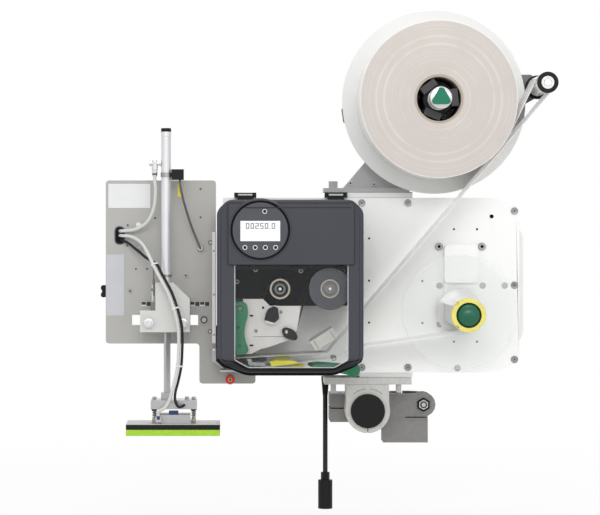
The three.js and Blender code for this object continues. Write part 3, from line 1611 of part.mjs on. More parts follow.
function buildMains() {
  const top = panelBottom - glandLength - seat;
  const points = [];
  for (let i = 0; i <= mainsStations; i += 1) {
    points.push([mainsX, mainsY, top + ((mainsEnd - top) * i) / mainsStations]);
  }
  piece('power_lead', tubeAlong(points, mainsRadius, mainsSteps, mainsSides), rubber);
  const neckEnd = mainsEnd - seat - plugNeckLength;
  piece('power_plug', join(
    rodZ(mainsX, mainsY, plugNeck, neckEnd - lap, mainsEnd - seat, smallSteps),
    rodZ(mainsX, mainsY, plugRadius, neckEnd - plugLength, neckEnd)), blackPlastic);
}

piece('main_panel', buildPanel(), whitePaint);
piece('rear_housing', buildHousing(), whitePaint);
buildStandClamp();
buildUnwinder();
piece('dancer_arm', buildDancerArm(), satinAluminium);
piece('deflection_roller', buildRoller(), lightGrey);
buildWeb();
buildRewinder();
piece('hood_shell', buildHood(), slate);
piece('hood_window', slabY(windowOutline(windowLap), hoodFront + hoodWall + seat,
  hoodFront + hoodWall + seat + windowThickness), clearSheet);
piece('hinge_left', buildHinge(hingeLeftX), blackPlastic);
piece('hinge_right', buildHinge(hingeRightX), blackPlastic);
buildDialGroup();
piece('ribbon_plate', buildRibbonPlate(), blackPlastic);
piece('ribbon_roll', buildSpindle(ribbonSupplyX, ribbonSupplyZ, ribbonRollRadius, ribbonCoreRadius), slate);
piece('ribbon_takeup', buildSpindle(
  ribbonTakeupX, ribbonTakeupZ, takeupCoreRadius + takeupFilm, takeupCoreRadius), slate);
piece('print_head', buildPrintHead(), lightGrey);
piece('platen_roller', buildPlaten(), rubber);
piece('lower_guide', buildLowerGuide(), satinAluminium);
piece('head_lever', buildHeadLever(), leverGreen);
piece('latch_lever', buildLatchLever(), slate);
piece('feed_lever', buildFeedLever(), leverGreen);
piece('red_knob', buildRedKnob(), redPlastic);
piece('applicator_plate', buildCarrier(), satinAluminium);
piece('star_knob', buildStarKnob(), blackPlastic);
piece('cylinder_barrel', buildCylinder(), brightMetal);
piece('guide_block', buildGuideBlock(), lightGrey);
const sensorLeft = cylinderX + barrelRadius;
piece('cylinder_sensor', block(sensorLeft + seat, sensorLeft + sensorWidth,
  cylinderY - sensorDepth / 2, cylinderY + sensorDepth / 2,
  sensorBottom, sensorBottom + sensorHeight), blackPlastic);
piece('valve_block', buildValveBlock(), satinAluminium);
piece('pad_carriage', buildCarriage(), brightMetal);
piece('pad_base', buildPadBase(), satinAluminium);
piece('pad_body', block(
  padLeft, padRight, padFront, padBack, padFoamTop + seat, padTop - padPlate - seat), blackPlastic);
piece('pad_foam', block(padLeft, padRight, padFront, padBack, padBottom, padFoamTop), foam);
for (const [name, x] of Object.entries(springPlaces)) piece(name, buildSpring(x), brightMetal);
piece('drive_motor', buildMotor(), slate);
piece('controller_board', buildBoard(), boardGreen);
piece('valve_hose', tubeAlong(valveHoseRoute, hoseRadius, shortHoseSteps), hoseWhite);
piece('pad_hose', tubeAlong(padHoseRoute, hoseRadius, padHoseSteps), hoseWhite);
piece('pad_cable', tubeAlong(padCableRoute, cableRadius, padCableSteps), rubber);
piece('sensor_lead', tubeAlong(sensorLeadRoute, leadRadius, shortHoseSteps), rubber);
buildMains();

// The labeler is held by the column bore of its cross clamp, and that is its origin
const labeler = new THREE.Group();
labeler.position.set(-columnX, -columnY, 0);
for (const mesh of pieces) labeler.add(mesh);

export default labeler;
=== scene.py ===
import math

import bmesh
import bpy
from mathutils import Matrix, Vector


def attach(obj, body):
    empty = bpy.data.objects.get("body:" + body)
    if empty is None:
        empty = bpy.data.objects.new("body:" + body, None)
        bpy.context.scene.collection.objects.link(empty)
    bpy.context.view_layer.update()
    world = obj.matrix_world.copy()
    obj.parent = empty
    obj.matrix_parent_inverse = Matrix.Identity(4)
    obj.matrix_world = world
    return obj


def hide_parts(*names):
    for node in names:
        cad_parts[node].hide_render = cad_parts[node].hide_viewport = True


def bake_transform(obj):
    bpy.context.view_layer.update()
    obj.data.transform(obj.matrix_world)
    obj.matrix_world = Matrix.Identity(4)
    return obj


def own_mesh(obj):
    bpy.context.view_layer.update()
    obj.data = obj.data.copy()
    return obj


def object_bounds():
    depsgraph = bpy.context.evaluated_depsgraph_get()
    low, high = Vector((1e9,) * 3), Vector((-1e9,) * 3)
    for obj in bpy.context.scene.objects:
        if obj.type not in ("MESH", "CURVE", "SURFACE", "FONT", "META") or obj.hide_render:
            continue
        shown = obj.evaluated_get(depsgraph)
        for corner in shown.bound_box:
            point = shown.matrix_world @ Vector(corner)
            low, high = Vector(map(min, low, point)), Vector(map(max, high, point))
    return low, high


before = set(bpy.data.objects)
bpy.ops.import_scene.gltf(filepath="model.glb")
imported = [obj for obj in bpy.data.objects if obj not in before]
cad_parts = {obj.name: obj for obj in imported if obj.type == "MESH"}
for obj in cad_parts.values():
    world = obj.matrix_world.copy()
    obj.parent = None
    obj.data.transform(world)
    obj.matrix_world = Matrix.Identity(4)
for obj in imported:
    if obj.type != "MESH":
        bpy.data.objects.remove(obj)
cad_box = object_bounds()

# The work frame is in millimetres, as in the part's source: x right, y back, z up.
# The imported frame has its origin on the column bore, so x and y are shifted by these.
COLUMN_X = 72.0
COLUMN_Y = 122.0
TURN = math.pi * 2

# Camera: its eye in the work frame, and its lens in pixels of the photograph and in millimetres
EYE = (-241.73, -4030, 322.19)
FOCAL_PIXELS = 2264.0
CENTRE_PIXEL = (232, 230)
SENSOR_MM = 36
LENS_MM = 135.84
LENS_SHIFT = (0.1133, -0.0458)
FARTHEST = 60


def at(x, y, z):
    return Vector(((x - COLUMN_X) / 1000, (y - COLUMN_Y) / 1000, z / 1000))


def spot(px, py, y=0.0):
    """A point of the photograph, on the plane at y, in work millimetres."""
    scale = FOCAL_PIXELS / (y - EYE[1])
    return (px - CENTRE_PIXEL[0]) / scale + EYE[0], (CENTRE_PIXEL[1] - py) / scale + EYE[2]


def add_object(name, data):
    thing = bpy.data.objects.new(name, data)
    bpy.context.scene.collection.objects.link(thing)
    return thing


camera_data = bpy.data.cameras.new("camera")
camera_data.sensor_width = SENSOR_MM
camera_data.lens = LENS_MM
camera_data.shift_x, camera_data.shift_y = LENS_SHIFT
camera_data.clip_end = FARTHEST
camera = add_object("camera", camera_data)
camera.location = at(*EYE)
camera.rotation_euler = (math.pi / 2, 0, 0)
bpy.context.scene.camera = camera


# Materials
def srgb(r, g, b):
    parts = [part / 255 for part in (r, g, b)]
    return (*(part / 12.92 if part <= 0.04045 else ((part + 0.055) / 1.055) ** 2.4 for part in parts), 1)


def shade(color, factor):
    return (*(min(part * factor, 1) for part in color[:3]), 1)


class Nodes:
    """Adds nodes to one material and links them."""

    def __init__(self, name):
        self.material = bpy.data.materials.new(name)
        self.material.use_nodes = True
        self.tree = self.material.node_tree
        self.shader = self.tree.nodes["Principled BSDF"]

    def fill(self, node, values):
        """Gives each named socket its value, or the output that it is linked to."""
        for key, value in values.items():
            if hasattr(value, "links"):
                self.tree.links.new(value, node.inputs[key])
            else:
                node.inputs[key].default_value = value

    def add(self, kind, values=None, **settings):
        node = self.tree.nodes.new("ShaderNode" + kind)
        for key, value in settings.items():
            setattr(node, key, value)
        self.fill(node, values or {})
        return node

    def place(self):
        return self.add("TexCoord").outputs["Object"]

    def noise(self, size_mm, stretch=(1, 1, 1), detail=3):
        scale = 1000 / size_mm
        mapping = self.add("Mapping", {"Vector": self.place(), "Scale": [scale * part for part in stretch]})
        values = {"Vector": mapping.outputs["Vector"], "Scale": 1, "Detail": detail, "Roughness": 0.55}
        return self.add("TexNoise", values).outputs["Fac"]

    def bands(self, along, detail):
        """Uneven bands along one measure."""
        values = {"W": along, "Scale": 1, "Detail": detail}
        return self.add("TexNoise", values, noise_dimensions="1D").outputs["Fac"]

    def ramp(self, source, low, high, a, b):
        values = {"Value": source, "From Min": low, "From Max": high, "To Min": a, "To Max": b}
        return self.add("MapRange", values).outputs["Result"]

    def mix(self, share, a, b):
        return self.add("Mix", {0: share, 6: a, 7: b}, data_type="RGBA").outputs[2]

    def math(self, operation, a, b):
        return self.add("Math", {0: a, 1: b}, operation=operation).outputs[0]

    def bump(self, height, strength, depth_mm):
        values = {"Height": height, "Strength": strength, "Distance": depth_mm / 1000}
        self.fill(self.shader, {"Normal": self.add("Bump", values).outputs["Normal"]})


BAND_STRENGTH = 0.9
BAND_SHADE = 0.12
COAT_ROUGH = 0.15


def finish(name, color, rough, grain_mm, grain, cloud_mm, cloud, metal=0.0, specular=0.5, stretch=(1, 1, 1),
           coat=0.0, rough_spread=0.08, wear=0.0, painted_shade_band=None):
    """Slow colour change and fine grain, with worn edges, or painted shade that darkens the colour towards
    the foot, where asked.
    """
    n = Nodes(name)
    color = srgb(*color)
    clouds = n.noise(cloud_mm)
    tone = n.mix(n.ramp(clouds, 0.3, 0.7, 0, 1), shade(color, 1 - cloud), shade(color, 1 + cloud))
    fine = n.noise(grain_mm, stretch)
    tone = n.mix(n.ramp(fine, 0.35, 0.65, 0, 0.25), tone, shade(color, 1 - cloud * 1.5))
    if wear:
        worn = n.add("NewGeometry").outputs["Pointiness"]
        tone = n.mix(n.ramp(worn, 0.53, 0.6, 0, wear), tone, shade(color, 1.5))
    # Painted shade: the colour darkens below the band's top, fully below its bottom.
    if painted_shade_band:
        height = n.add("SeparateXYZ", {0: n.place()}).outputs["Z"]
        low, high = painted_shade_band
        tone = n.mix(n.ramp(height, low / 1000, high / 1000, BAND_STRENGTH, 0), tone,
                     shade(color, BAND_SHADE))
    half = rough_spread / 2
    n.fill(n.shader, {"Base Color": tone, "Roughness": n.ramp(clouds, 0.3, 0.7, rough - half, rough + half),
                      "Metallic": metal, "Specular IOR Level": specular})
    if coat:
        n.fill(n.shader, {"Coat Weight": coat, "Coat Roughness": COAT_ROUGH})
    n.bump(fine, grain, 0.05 + grain_mm * 0.1)
    return n.material


WIDE_BAND_MM = 7
BLOT_MM = 45


def ring_finish(name, x, z, color, dark, pitch_mm, rough, strength=0.25, core=None):
    """Fine rings round the axis at x, z, as on a wound roll's edge; core is its core's radius and colour."""
    n = Nodes(name)
    color = srgb(*color)
    away = n.add("VectorMath", {0: n.place(), 1: at(x, COLUMN_Y, z)}, operation="SUBTRACT")
    flat = n.add("VectorMath", {0: away.outputs[0], 1: (1, 0, 1)}, operation="MULTIPLY")
    radius = n.add("VectorMath", {0: flat.outputs[0]}, operation="LENGTH").outputs["Value"]
    turns = n.math("MULTIPLY", radius, 1000 / pitch_mm)
    fine = n.bands(turns, 5)
    tone = n.mix(n.ramp(fine, 0.3, 0.7, 0, 1), srgb(*dark), color)
    wide = n.bands(n.math("MULTIPLY", turns, pitch_mm / WIDE_BAND_MM), 3)
    blot = n.noise(BLOT_MM)
    rings = n.math("MULTIPLY", n.ramp(wide, 0.5, 0.68, 0, 1), n.ramp(blot, 0.35, 0.6, 0.15, 1))
    tone = n.mix(rings, tone, shade(color, 1.07))
    tone = n.mix(n.ramp(blot, 0.4, 0.75, 0, 0.35), tone, shade(color, 1.04))
    if core:
        reach, core_color = core
        inside = n.ramp(radius, (reach - 0.3) / 1000, (reach + 0.3) / 1000, 1, 0)
        tone = n.mix(inside, tone, srgb(*core_color))
    n.fill(n.shader, {"Base Color": tone, "Roughness": rough})
    n.bump(fine, strength, 0.15)
    return n.material


CLEAR_IOR = 1.3
HAZE_MM = 35


def clear_finish(name, color, rough, alpha, mirror=0.0):
    """Clear sheet: mostly see-through, with a clean reflection."""
    n = Nodes(name)
    haze = n.noise(HAZE_MM)
    n.fill(n.shader, {"Roughness": n.ramp(haze, 0.3, 0.7, rough, rough + 0.05), "Alpha": alpha,
                      "Base Color": n.mix(n.ramp(haze, 0.3, 0.7, 0, 1), color, shade(color, 0.94)),
                      "Metallic": mirror, "IOR": CLEAR_IOR})
    return n.material


REEL_X, REEL_Z = 115.3, 548.3
SUPPLY_X, SUPPLY_Z = -72.9, 221
TAKEUP_X, TAKEUP_Z = -159, 220.6
ACROSS = (1, 0.1, 1)
BRUSHED_X = (0.06, 1, 1)
SLATE = (66, 67, 74)

# Each row: name, colour, roughness, size and strength of the grain, size and strength of the clouds
M = {
    "panel": finish("panel_white", (243, 244, 242), 0.40, 1.2, 0.10, 160, 0.012),
    "housing": finish("housing_white", (228, 229, 227), 0.44, 1.2, 0.12, 160, 0.015),
    "grey_paint": finish("light_grey_coat", (196, 196, 194), 0.45, 0.9, 0.14, 60, 0.03),
    "bracket": finish("bracket_grey_coat", (168, 168, 168), 0.45, 0.9, 0.14, 60, 0.04),
    "flange": finish("flange_coat", (222, 222, 220), 0.42, 0.9, 0.10, 120, 0.02),
    "slate": finish("slate_hood", SLATE, 0.48, 0.6, 0.25, 120, 0.05, specular=0.22),
    "slate_dark": finish("slate_dark", (38, 38, 42), 0.46, 0.6, 0.2, 90, 0.05, specular=0.25),
    # The hood's coat darkens below z 104, fully below z 92: painted shade on the hood's chin.
    "hood": finish("hood_coat", SLATE, 0.48, 0.6, 0.25, 120, 0.05, specular=0.22, painted_shade_band=(92, 104)),
    # Near-black copy of the slate for the hood's downward faces: painted shade.
    "sill": finish("hood_sill_painted_shade", (18, 18, 21), 0.75, 0.6, 0.2, 90, 0.06, specular=0.02),
    "black": finish("black_plastic", (19, 19, 20), 0.48, 0.5, 0.2, 60, 0.08, specular=0.2),
    "black_gloss": finish("black_gloss", (7, 7, 9), 0.4, 0.5, 0.04, 60, 0.05, specular=0.12),
    "deck": finish("black_deck", (26, 26, 30), 0.52, 2, 0.1, 60, 0.1, specular=0.1),
    "cast": finish("cast_aluminium", (124, 123, 121), 0.6, 3.5, 0.8, 12, 0.18, 0.3, rough_spread=0.2,
                   wear=0.25),
    "cast_light": finish("machined_casting", (180, 179, 176), 0.52, 3.0, 0.7, 8, 0.14, 0.3, rough_spread=0.2,
                         wear=0.2),
    "steel": finish("ground_steel", (176, 176, 177), 0.32, 0.6, 0.10, 60, 0.05, 0.9, stretch=(1, 1, 0.05)),
    "steel_y": finish("turned_steel", (206, 206, 206), 0.34, 0.5, 0.08, 60, 0.04, 0.8, stretch=(1, 0.05, 1)),
    "barrel_steel": finish("barrel_steel", (216, 216, 218), 0.4, 0.6, 0.03, 80, 0.04, 0.4,
                           stretch=(1, 1, 0.03)),
    "zinc": finish("zinc_screw", (158, 158, 158), 0.34, 0.4, 0.1, 6, 0.12, 0.8),
    # Dark grey: painted shade on washer rims, in the gaps round screw heads, in sockets and in the fitting's
    # neck; also the own colour of the small plate screws, the rings round the plate's holes and the ring's
    # casting lines.
    "screw_edge": finish("dark_grey_and_painted_recess_shade", (70, 70, 70), 0.5, 0.4, 0.1, 6, 0.1),
    "plate": finish("satin_aluminium", (170, 169, 165), 0.46, 0.5, 0.14, 140, 0.035, 0.2,
                    stretch=(0.04, 1, 1),
                    rough_spread=0.1),
    "alu": finish("bright_aluminium", (178, 178, 179), 0.4, 0.5, 0.12, 60, 0.05, 0.5, stretch=BRUSHED_X),
    "alu_dark": finish("dull_aluminium", (112, 112, 113), 0.48, 0.6, 0.15, 60, 0.07, 0.4),
    "brass": finish("brass", (172, 156, 104), 0.34, 0.4, 0.1, 5, 0.12, 0.8),
    "jaw": finish("jaw_plastic", (58, 56, 58), 0.42, 0.6, 0.15, 60, 0.08, specular=0.4),
    "knob_metal": finish("knob_metal", (214, 212, 214), 0.24, 0.5, 0.05, 20, 0.08, 0.7),
    "roller_white": finish("roller_sleeve", (246, 245, 242), 0.4, 0.7, 0.08, 60, 0.03, stretch=ACROSS),
    "guide_coat": finish("guide_coat", (206, 206, 203), 0.45, 0.9, 0.12, 60, 0.025),
    "guide_front": finish("guide_front", (188, 186, 180), 0.45, 0.8, 0.12, 20, 0.05),
    "pad_top": finish("pad_plate", (176, 176, 177), 0.42, 0.5, 0.12, 60, 0.05, 0.4, stretch=BRUSHED_X),
    "head_grey": finish("print_head_casting", (200, 198, 195), 0.45, 0.8, 0.2, 30, 0.05, 0.1),
    "green_dark": finish("dark_green", (4, 92, 66), 0.34, 0.7, 0.06, 15, 0.08, specular=0.35, coat=0.2),
    "green_knob": finish("knob_green", (4, 116, 86), 0.36, 0.7, 0.06, 15, 0.1, specular=0.3),
    "green_lever": finish("lever_green", (42, 116, 82), 0.44, 0.6, 0.12, 20, 0.07, specular=0.3),
    "teal": finish("tray_teal", (70, 128, 104), 0.45, 0.6, 0.1, 12, 0.1),
    "yellow": finish("yellow_collar", (226, 216, 112), 0.4, 0.6, 0.08, 15, 0.06),
    "yellow_tag": finish("yellow_tag", (228, 210, 40), 0.5, 0.6, 0.06, 8, 0.05),
    "tray_film": finish("tray_film", (214, 206, 14), 0.45, 0.8, 0.06, 14, 0.1),
    # A darker copy of the tray film: painted shade where the film lies in shade.
    "olive_film": finish("tray_film_shaded", (150, 148, 40), 0.5, 0.8, 0.06, 10, 0.15),
    "foam": finish("lime_foam", (163, 207, 66), 0.85, 1.1, 0.6, 12, 0.08, specular=0.2),
    "red": finish("red_knob", (196, 26, 22), 0.36, 0.6, 0.08, 8, 0.08),
    "blue": finish("blue_fitting", (20, 48, 98), 0.36, 0.6, 0.06, 8, 0.06),
    "navy": finish("grommet_navy", (22, 34, 54), 0.4, 0.6, 0.06, 8, 0.1),
    "white": finish("white_plastic", (224, 225, 225), 0.42, 0.6, 0.08, 30, 0.02),
    "rubber": finish("black_rubber", (24, 24, 25), 0.66, 0.5, 0.25, 20, 0.1, specular=0.2),
    "hose": finish("white_hose", (206, 207, 204), 0.34, 3, 0.05, 25, 0.04, coat=0.15),
    "cable": finish("black_cable", (32, 32, 34), 0.5, 1, 0.12, 12, 0.1, specular=0.25),
    "sensor_lead": finish("grey_lead", (98, 97, 94), 0.4, 1, 0.12, 12, 0.1),
    "board": finish("circuit_board", (26, 88, 48), 0.45, 1.5, 0.3, 9, 0.25),
    "liner": finish("liner_paper", (254, 253, 250), 0.55, 0.8, 0.06, 40, 0.02),
    "rating": finish("blank_rating_plate", (190, 192, 197), 0.36, 0.6, 0.06, 30, 0.03),
    "scale_black": finish("scale_black", (26, 26, 28), 0.45, 0.5, 0.05, 60, 0.1),
    # Near-black for holes, sockets and recesses: painted shade.
    "dark_hole": finish("painted_recess_shade", (12, 12, 13), 0.7, 0.8, 0.1, 60, 0.1, specular=0.1),
    "dial_face": finish("dial_face", (62, 63, 71), 0.42, 0.5, 0.12, 50, 0.04),
    "screen": finish("display_panel", (246, 248, 250), 0.25, 0.4, 0.02, 80, 0.01),
    "ink": finish("display_ink", (70, 73, 80), 0.4, 0.4, 0.02, 20, 0.05),
    "roll_side": finish("roll_side", (243, 243, 241), 0.6, 1.5, 0.1, 70, 0.015, stretch=ACROSS),
    "ribbon_side": finish("ribbon_side", (52, 54, 62), 0.25, 1, 0.04, 20, 0.1, stretch=ACROSS),
    "ribbon_film": finish("ribbon_strip", (40, 41, 46), 0.3, 1, 0.05, 25, 0.12),
    "roll_edge": ring_finish("roll_edge", REEL_X, REEL_Z, (208, 201, 195), (196, 188, 182), 0.55, 0.75,
                             core=(42.5, (176, 167, 152))),
    "core_card": ring_finish("core_card", TAKEUP_X, TAKEUP_Z, (178, 170, 152), (160, 150, 130), 0.4, 0.7),
    "core_pale": ring_finish("core_pale", SUPPLY_X, SUPPLY_Z, (176, 172, 160), (156, 150, 136), 0.4, 0.6),
    "ribbon_black": ring_finish("ribbon_black", SUPPLY_X, SUPPLY_Z, (60, 62, 70), (48, 49, 56), 2.5, 0.42,
                                0.03),
    "clear_disc": clear_finish("clear_disc", (0.96, 0.99, 0.98, 1), 0.08, 0.10, 1.0),
    "disc_edge": clear_finish("clear_disc_edge", (0.78, 0.86, 0.84, 1), 0.02, 0.5),
    "pane": clear_finish("window_sheet", (0.92, 0.94, 0.96, 1), 0.03, 0.015, 1.0),
    # Whitish, half see-through strips along the window's opening: painted highlight.
    "pane_highlight": clear_finish("window_painted_highlight", (0.95, 0.97, 0.97, 1), 0.2, 0.75),
}
liner_shader = M["liner"].node_tree.nodes["Principled BSDF"]
liner_shader.inputs["Subsurface Weight"].default_value = 0.75
liner_shader.inputs["Subsurface Radius"].default_value = (1, 1, 1)
liner_shader.inputs["Subsurface Scale"].default_value = 0.02

# Mesh helpers, all in work millimetres; each face carries the index of its material
SMOOTH_ANGLE = 32
WELD = 0.001
SEAT = 0.15


def mesh_of(bm, name, angle=SMOOTH_ANGLE, mesh=None):
    """Turns all faces outwards, smooths up to the angle, and writes a new mesh or the given one."""
    mesh = mesh or bpy.data.meshes.new(name)
    bmesh.ops.recalc_face_normals(bm, faces=bm.faces)
    if bm.calc_volume(signed=True) < 0:
        bmesh.ops.reverse_faces(bm, faces=bm.faces)
    bm.to_mesh(mesh)
    bm.free()
    for face in mesh.polygons:
        face.use_smooth = True
    mesh.set_sharp_from_angle(angle=math.radians(angle))
    return mesh


def edge(thing, width, segments=2, angle=35, harden=True):
    """Rounds the edges sharper than the angle."""
    bevel = thing.modifiers.new("edge", "BEVEL")
    bevel.width = width / 1000
    bevel.segments = segments
    bevel.limit_method = "ANGLE"
    bevel.angle_limit = math.radians(angle)
    bevel.harden_normals = harden


def put(bm, name, looks, body="root", node=None, rounded=0.0, segments=2, angle=SMOOTH_ANGLE,
        weld=False):
    """Adds a mesh on its body, with its materials, in place of the CAD node where one is named."""
    if weld:
        bmesh.ops.remove_doubles(bm, verts=bm.verts, dist=WELD / 1000)
    thing = add_object(name, mesh_of(bm, name, angle))
    for look in looks.split():
        thing.data.materials.append(M[look])
    if rounded:
        edge(thing, rounded, segments)
    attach(thing, body)
    if node:
        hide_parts(node)
    return thing


def bridge(bm, a, b, index=0):
    """Joins two closed loops of the same length."""
    for i in range(len(a)):
        j = (i + 1) % len(a)
        bm.faces.new((a[i], a[j], b[j], b[i])).material_index = index


def lathe_into(bm, profile, place, along="y", steps=96, index=0):
    """Turns a profile of (radius, distance along the axis) round an axis through place."""
    x, y, z = place
    rings = []
    for radius, reach in profile:
        ring = []
        for i in range(steps if radius else 1):
            u = radius * math.cos(TURN * i / steps)
            v = radius * math.sin(TURN * i / steps)
            corner = {"x": (reach, y + u, z + v), "y": (x + u, reach, z + v),
                      "z": (x + u, y + v, reach)}[along]
            ring.append(bm.verts.new(at(*corner)))
        rings.append(ring)
    for a, b in zip(rings, rings[1:]):
        for i in range(steps):
            j = i + 1
            corners = list(dict.fromkeys((a[i % len(a)], a[j % len(a)], b[j % len(b)], b[i % len(b)])))
            if len(corners) > 2:
                bm.faces.new(corners).material_index = index


def turned(name, places, profiles, looks, body="root", node=None, along="y", steps=96,
           angle=SMOOTH_ANGLE):
    """One piece of profiles, each with the index of its material, turned at each of the places."""
    bm = bmesh.new()
    for place in places:
        for index, profile in profiles:
            lathe_into(bm, profile, place, along, steps, index)
    return put(bm, name, looks, body, node, angle=angle, weld=True)


def lathe(name, profile, place, look, body="root", along="y", steps=96, node=None):
    turned(name, [place], [(0, profile)], look, body, node, along, steps, 30)


def rectangle(x0, x1, z0, z1):
    return [(x0, z0), (x1, z0), (x1, z1), (x0, z1)]


def slab_into(bm, outline, y0, y1, index=0):
    front, back = ([bm.verts.new(at(x, y, z)) for x, z in outline] for y in (y0, y1))
    faces = [bm.faces.new(front), bm.faces.new(back[::-1])]
    for i in range(len(outline)):
        j = (i + 1) % len(outline)
        faces.append(bm.faces.new((front[i], back[i], back[j], front[j])))
    for face in faces:
        face.material_index = index


def slab(name, outline, y0, y1, looks, body="root", rounded=0.0, node=None, segments=2):
    bm = bmesh.new()
    slab_into(bm, outline, y0, y1)
    return put(bm, name, looks, body, node, rounded, segments)


def block_into(bm, x0, x1, y0, y1, z0, z1):
    slab_into(bm, rectangle(x0, x1, z0, z1), y0, y1)


def block(name, x0, x1, y0, y1, z0, z1, looks, body="root", rounded=0.4, node=None, slot=None, segments=2):
    return slab(name, rectangle(x0, x1, z0, z1), y0, y1, looks, body, rounded, node, segments)


def between(a, b, steps):
    return [(a[0] + (b[0] - a[0]) * i / steps, a[1] + (b[1] - a[1]) * i / steps) for i in range(steps + 1)]


def polar(x, z, radius, angle):
    return x + radius * math.cos(angle), z + radius * math.sin(angle)


def turned_by(x, z, angle, corners):
    """Corners given along and across a line through x, z that rises by the angle."""
    c, s = math.cos(angle), math.sin(angle)
    return [(x + u * c - v * s, z + u * s + v * c) for u, v in corners]


def arc(x, z, radius, a, b, steps):
    return [polar(x, z, radius, a + (b - a) * i / steps) for i in range(steps + 1)]


def circle(x, z, radius, steps):
    return arc(x, z, radius, 0, TURN * (1 - 1 / steps), steps - 1)


def hexagon(x, z, radius, start=0.0):
    return [polar(x, z, radius, start + TURN * i / 6) for i in range(6)]


def fluted(x, z, radius, depth, count, steps, power=1.0):
    """A round outline with that many waves, for a grip."""
    points = []
    for i in range(count * steps):
        angle = TURN * i / (count * steps)
        wave = (0.5 + 0.5 * math.cos(angle * count)) ** power
        points.append(polar(x, z, radius - depth * (1 - wave), angle))
    return points


def soft_outline(points, reach, steps):
    """The polygon with each corner rounded by the same reach."""
    out = []
    for i, (u, v) in enumerate(points):
        pu, pv = points[i - 1]
        nu, nv = points[(i + 1) % len(points)]
        before = math.hypot(u - pu, v - pv)
        after = math.hypot(nu - u, nv - v)
        a = min(reach, before / 2) / before
        b = min(reach, after / 2) / after
        start = (u + (pu - u) * a, v + (pv - v) * a)
        end = (u + (nu - u) * b, v + (nv - v) * b)
        for k in range(steps + 1):
            t = k / steps
            weights = ((1 - t) ** 2, 2 * t * (1 - t), t * t)
            out.append((weights[0] * start[0] + weights[1] * u + weights[2] * end[0],
                        weights[0] * start[1] + weights[1] * v + weights[2] * end[1]))
    return out


def screw_into(bm, x, y, z, radius, height, drive=0.45):
    """A round head standing forward from y, with a hexagonal socket."""
    top = y - height
    mouth_radius = radius * (drive + 0.08)
    lathe_into(bm, [(0, y + SEAT), (radius, y + SEAT), (radius, top + height * 0.25), (radius * 0.88, top),
                    (mouth_radius, top)], (x, 0, z), steps=24)
    corners = hexagon(x, z, radius * drive)
    socket = [bm.verts.new(at(u, top + height * 0.6, v)) for u, v in corners]
    mouth = [bm.verts.new(at(u, top, v)) for u, v in corners]
    outer = [bm.verts.new(at(u, top, v)) for u, v in circle(x, z, mouth_radius, 24)]
    outer.append(outer[0])
    # The socket's faces take the second material, near-black: painted shade.
    bridge(bm, mouth, socket, 1)
    for i in range(6):
        bm.faces.new((mouth[i], *outer[i * 4:i * 4 + 5], mouth[(i + 1) % 6]))
    bm.faces.new(socket).material_index = 1


def screws(name, places, look):
    """Socket heads facing forward: (x, y, z, radius, height) each."""
    bm = bmesh.new()
    for place in places:
        screw_into(bm, *place)
    # The sockets take the near-black: painted shade.
    put(bm, name, look + " dark_hole", angle=30, weld=True)


def discs(name, places, look, body="root"):
    """Thin discs on a face: (x, y, z, radius, height) each, standing forward from y."""
    bm = bmesh.new()
    for x, y, z, radius, height in places:
        lathe_into(bm, [(0, y + SEAT), (radius, y + SEAT), (radius, y - height * 0.7),
                        (radius - height * 0.3, y - height), (0, y - height)], (x, 0, z), steps=32)
    put(bm, name, look, body, angle=30, weld=True)


def dress(node, look, rounded, segments=2):
    """Gives a kept CAD node its material and rounds its edges."""
    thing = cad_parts[node]
    for place in thing.material_slots:
        place.link = "OBJECT"
        place.material = M[look]
    if rounded:
        flat = thing.modifiers.new("flat", "DECIMATE")
        flat.decimate_type = "DISSOLVE"
        flat.angle_limit = math.radians(1.0)
        edge(thing, rounded, segments, 40, harden=False)


def carve(thing, cuts, rounded=0.0, segments=2, angle=35):
    """Cuts straight holes along y, each an outline, its front and its back, and rounds the edges if asked."""
    cutters = []
    for outline, y0, y1 in cuts:
        bm = bmesh.new()
        slab_into(bm, outline, y0, y1)
        cutters.append(add_object("cutter", mesh_of(bm, "cutter")))
        step = thing.modifiers.new("cut", "BOOLEAN")
        step.operation = "DIFFERENCE"
        step.solver = "EXACT"
        step.object = cutters[-1]
    bpy.context.view_layer.update()
    old = thing.data
    thing.data = bpy.data.meshes.new_from_object(thing.evaluated_get(bpy.context.evaluated_depsgraph_get()))
    thing.modifiers.clear()
    bpy.data.meshes.remove(old)
    for cutter in cutters:
        bpy.data.objects.remove(cutter)
    bm = bmesh.new()
    bm.from_mesh(thing.data)
    bmesh.ops.holes_fill(bm, edges=[side for side in bm.edges if side.is_boundary], sides=8)
    mesh_of(bm, "carved", mesh=thing.data)
    if rounded:
        edge(thing, rounded, segments, angle)


# CAD nodes that are kept: look, rounding of the edges, and its segments
KEPT = {
    "power_plug": ("black", 0.6), "unwinder_bracket": ("bracket", 0.6), "dancer_arm": ("alu_dark", 0.5),
    "main_panel": ("panel", 0.5), "rear_housing": ("housing", 0.8), "rewind_mandrel": ("steel_y", 0.8, 3),
    "hinge_left": ("black", 0.5), "hinge_right": ("black", 0.5), "ribbon_plate": ("deck", 0.5),
    "print_head": ("head_grey", 0.6), "lower_guide": ("alu", 0.4), "applicator_plate": ("plate", 0.6),
    "cylinder_sensor": ("black", 1.2, 3), "guide_block": ("guide_coat", 0.8), "pad_carriage": ("steel", 0.5),
    "pad_base": ("pad_top", 0.4), "mount_plate": ("cast_light", 0.8), "clamp_ring": ("cast_light", 1.6, 3),
    "stand_tube": ("steel_y", 0.5), "tube_cap": ("black", 0.8, 3), "cross_clamp": ("cast", 1.6, 3),
    "valve_block": ("alu", 0.6), "drive_motor": ("slate_dark", 1.0, 3), "controller_board": ("board", 0),
}
for name, looks in KEPT.items():
    dress(name, *looks)

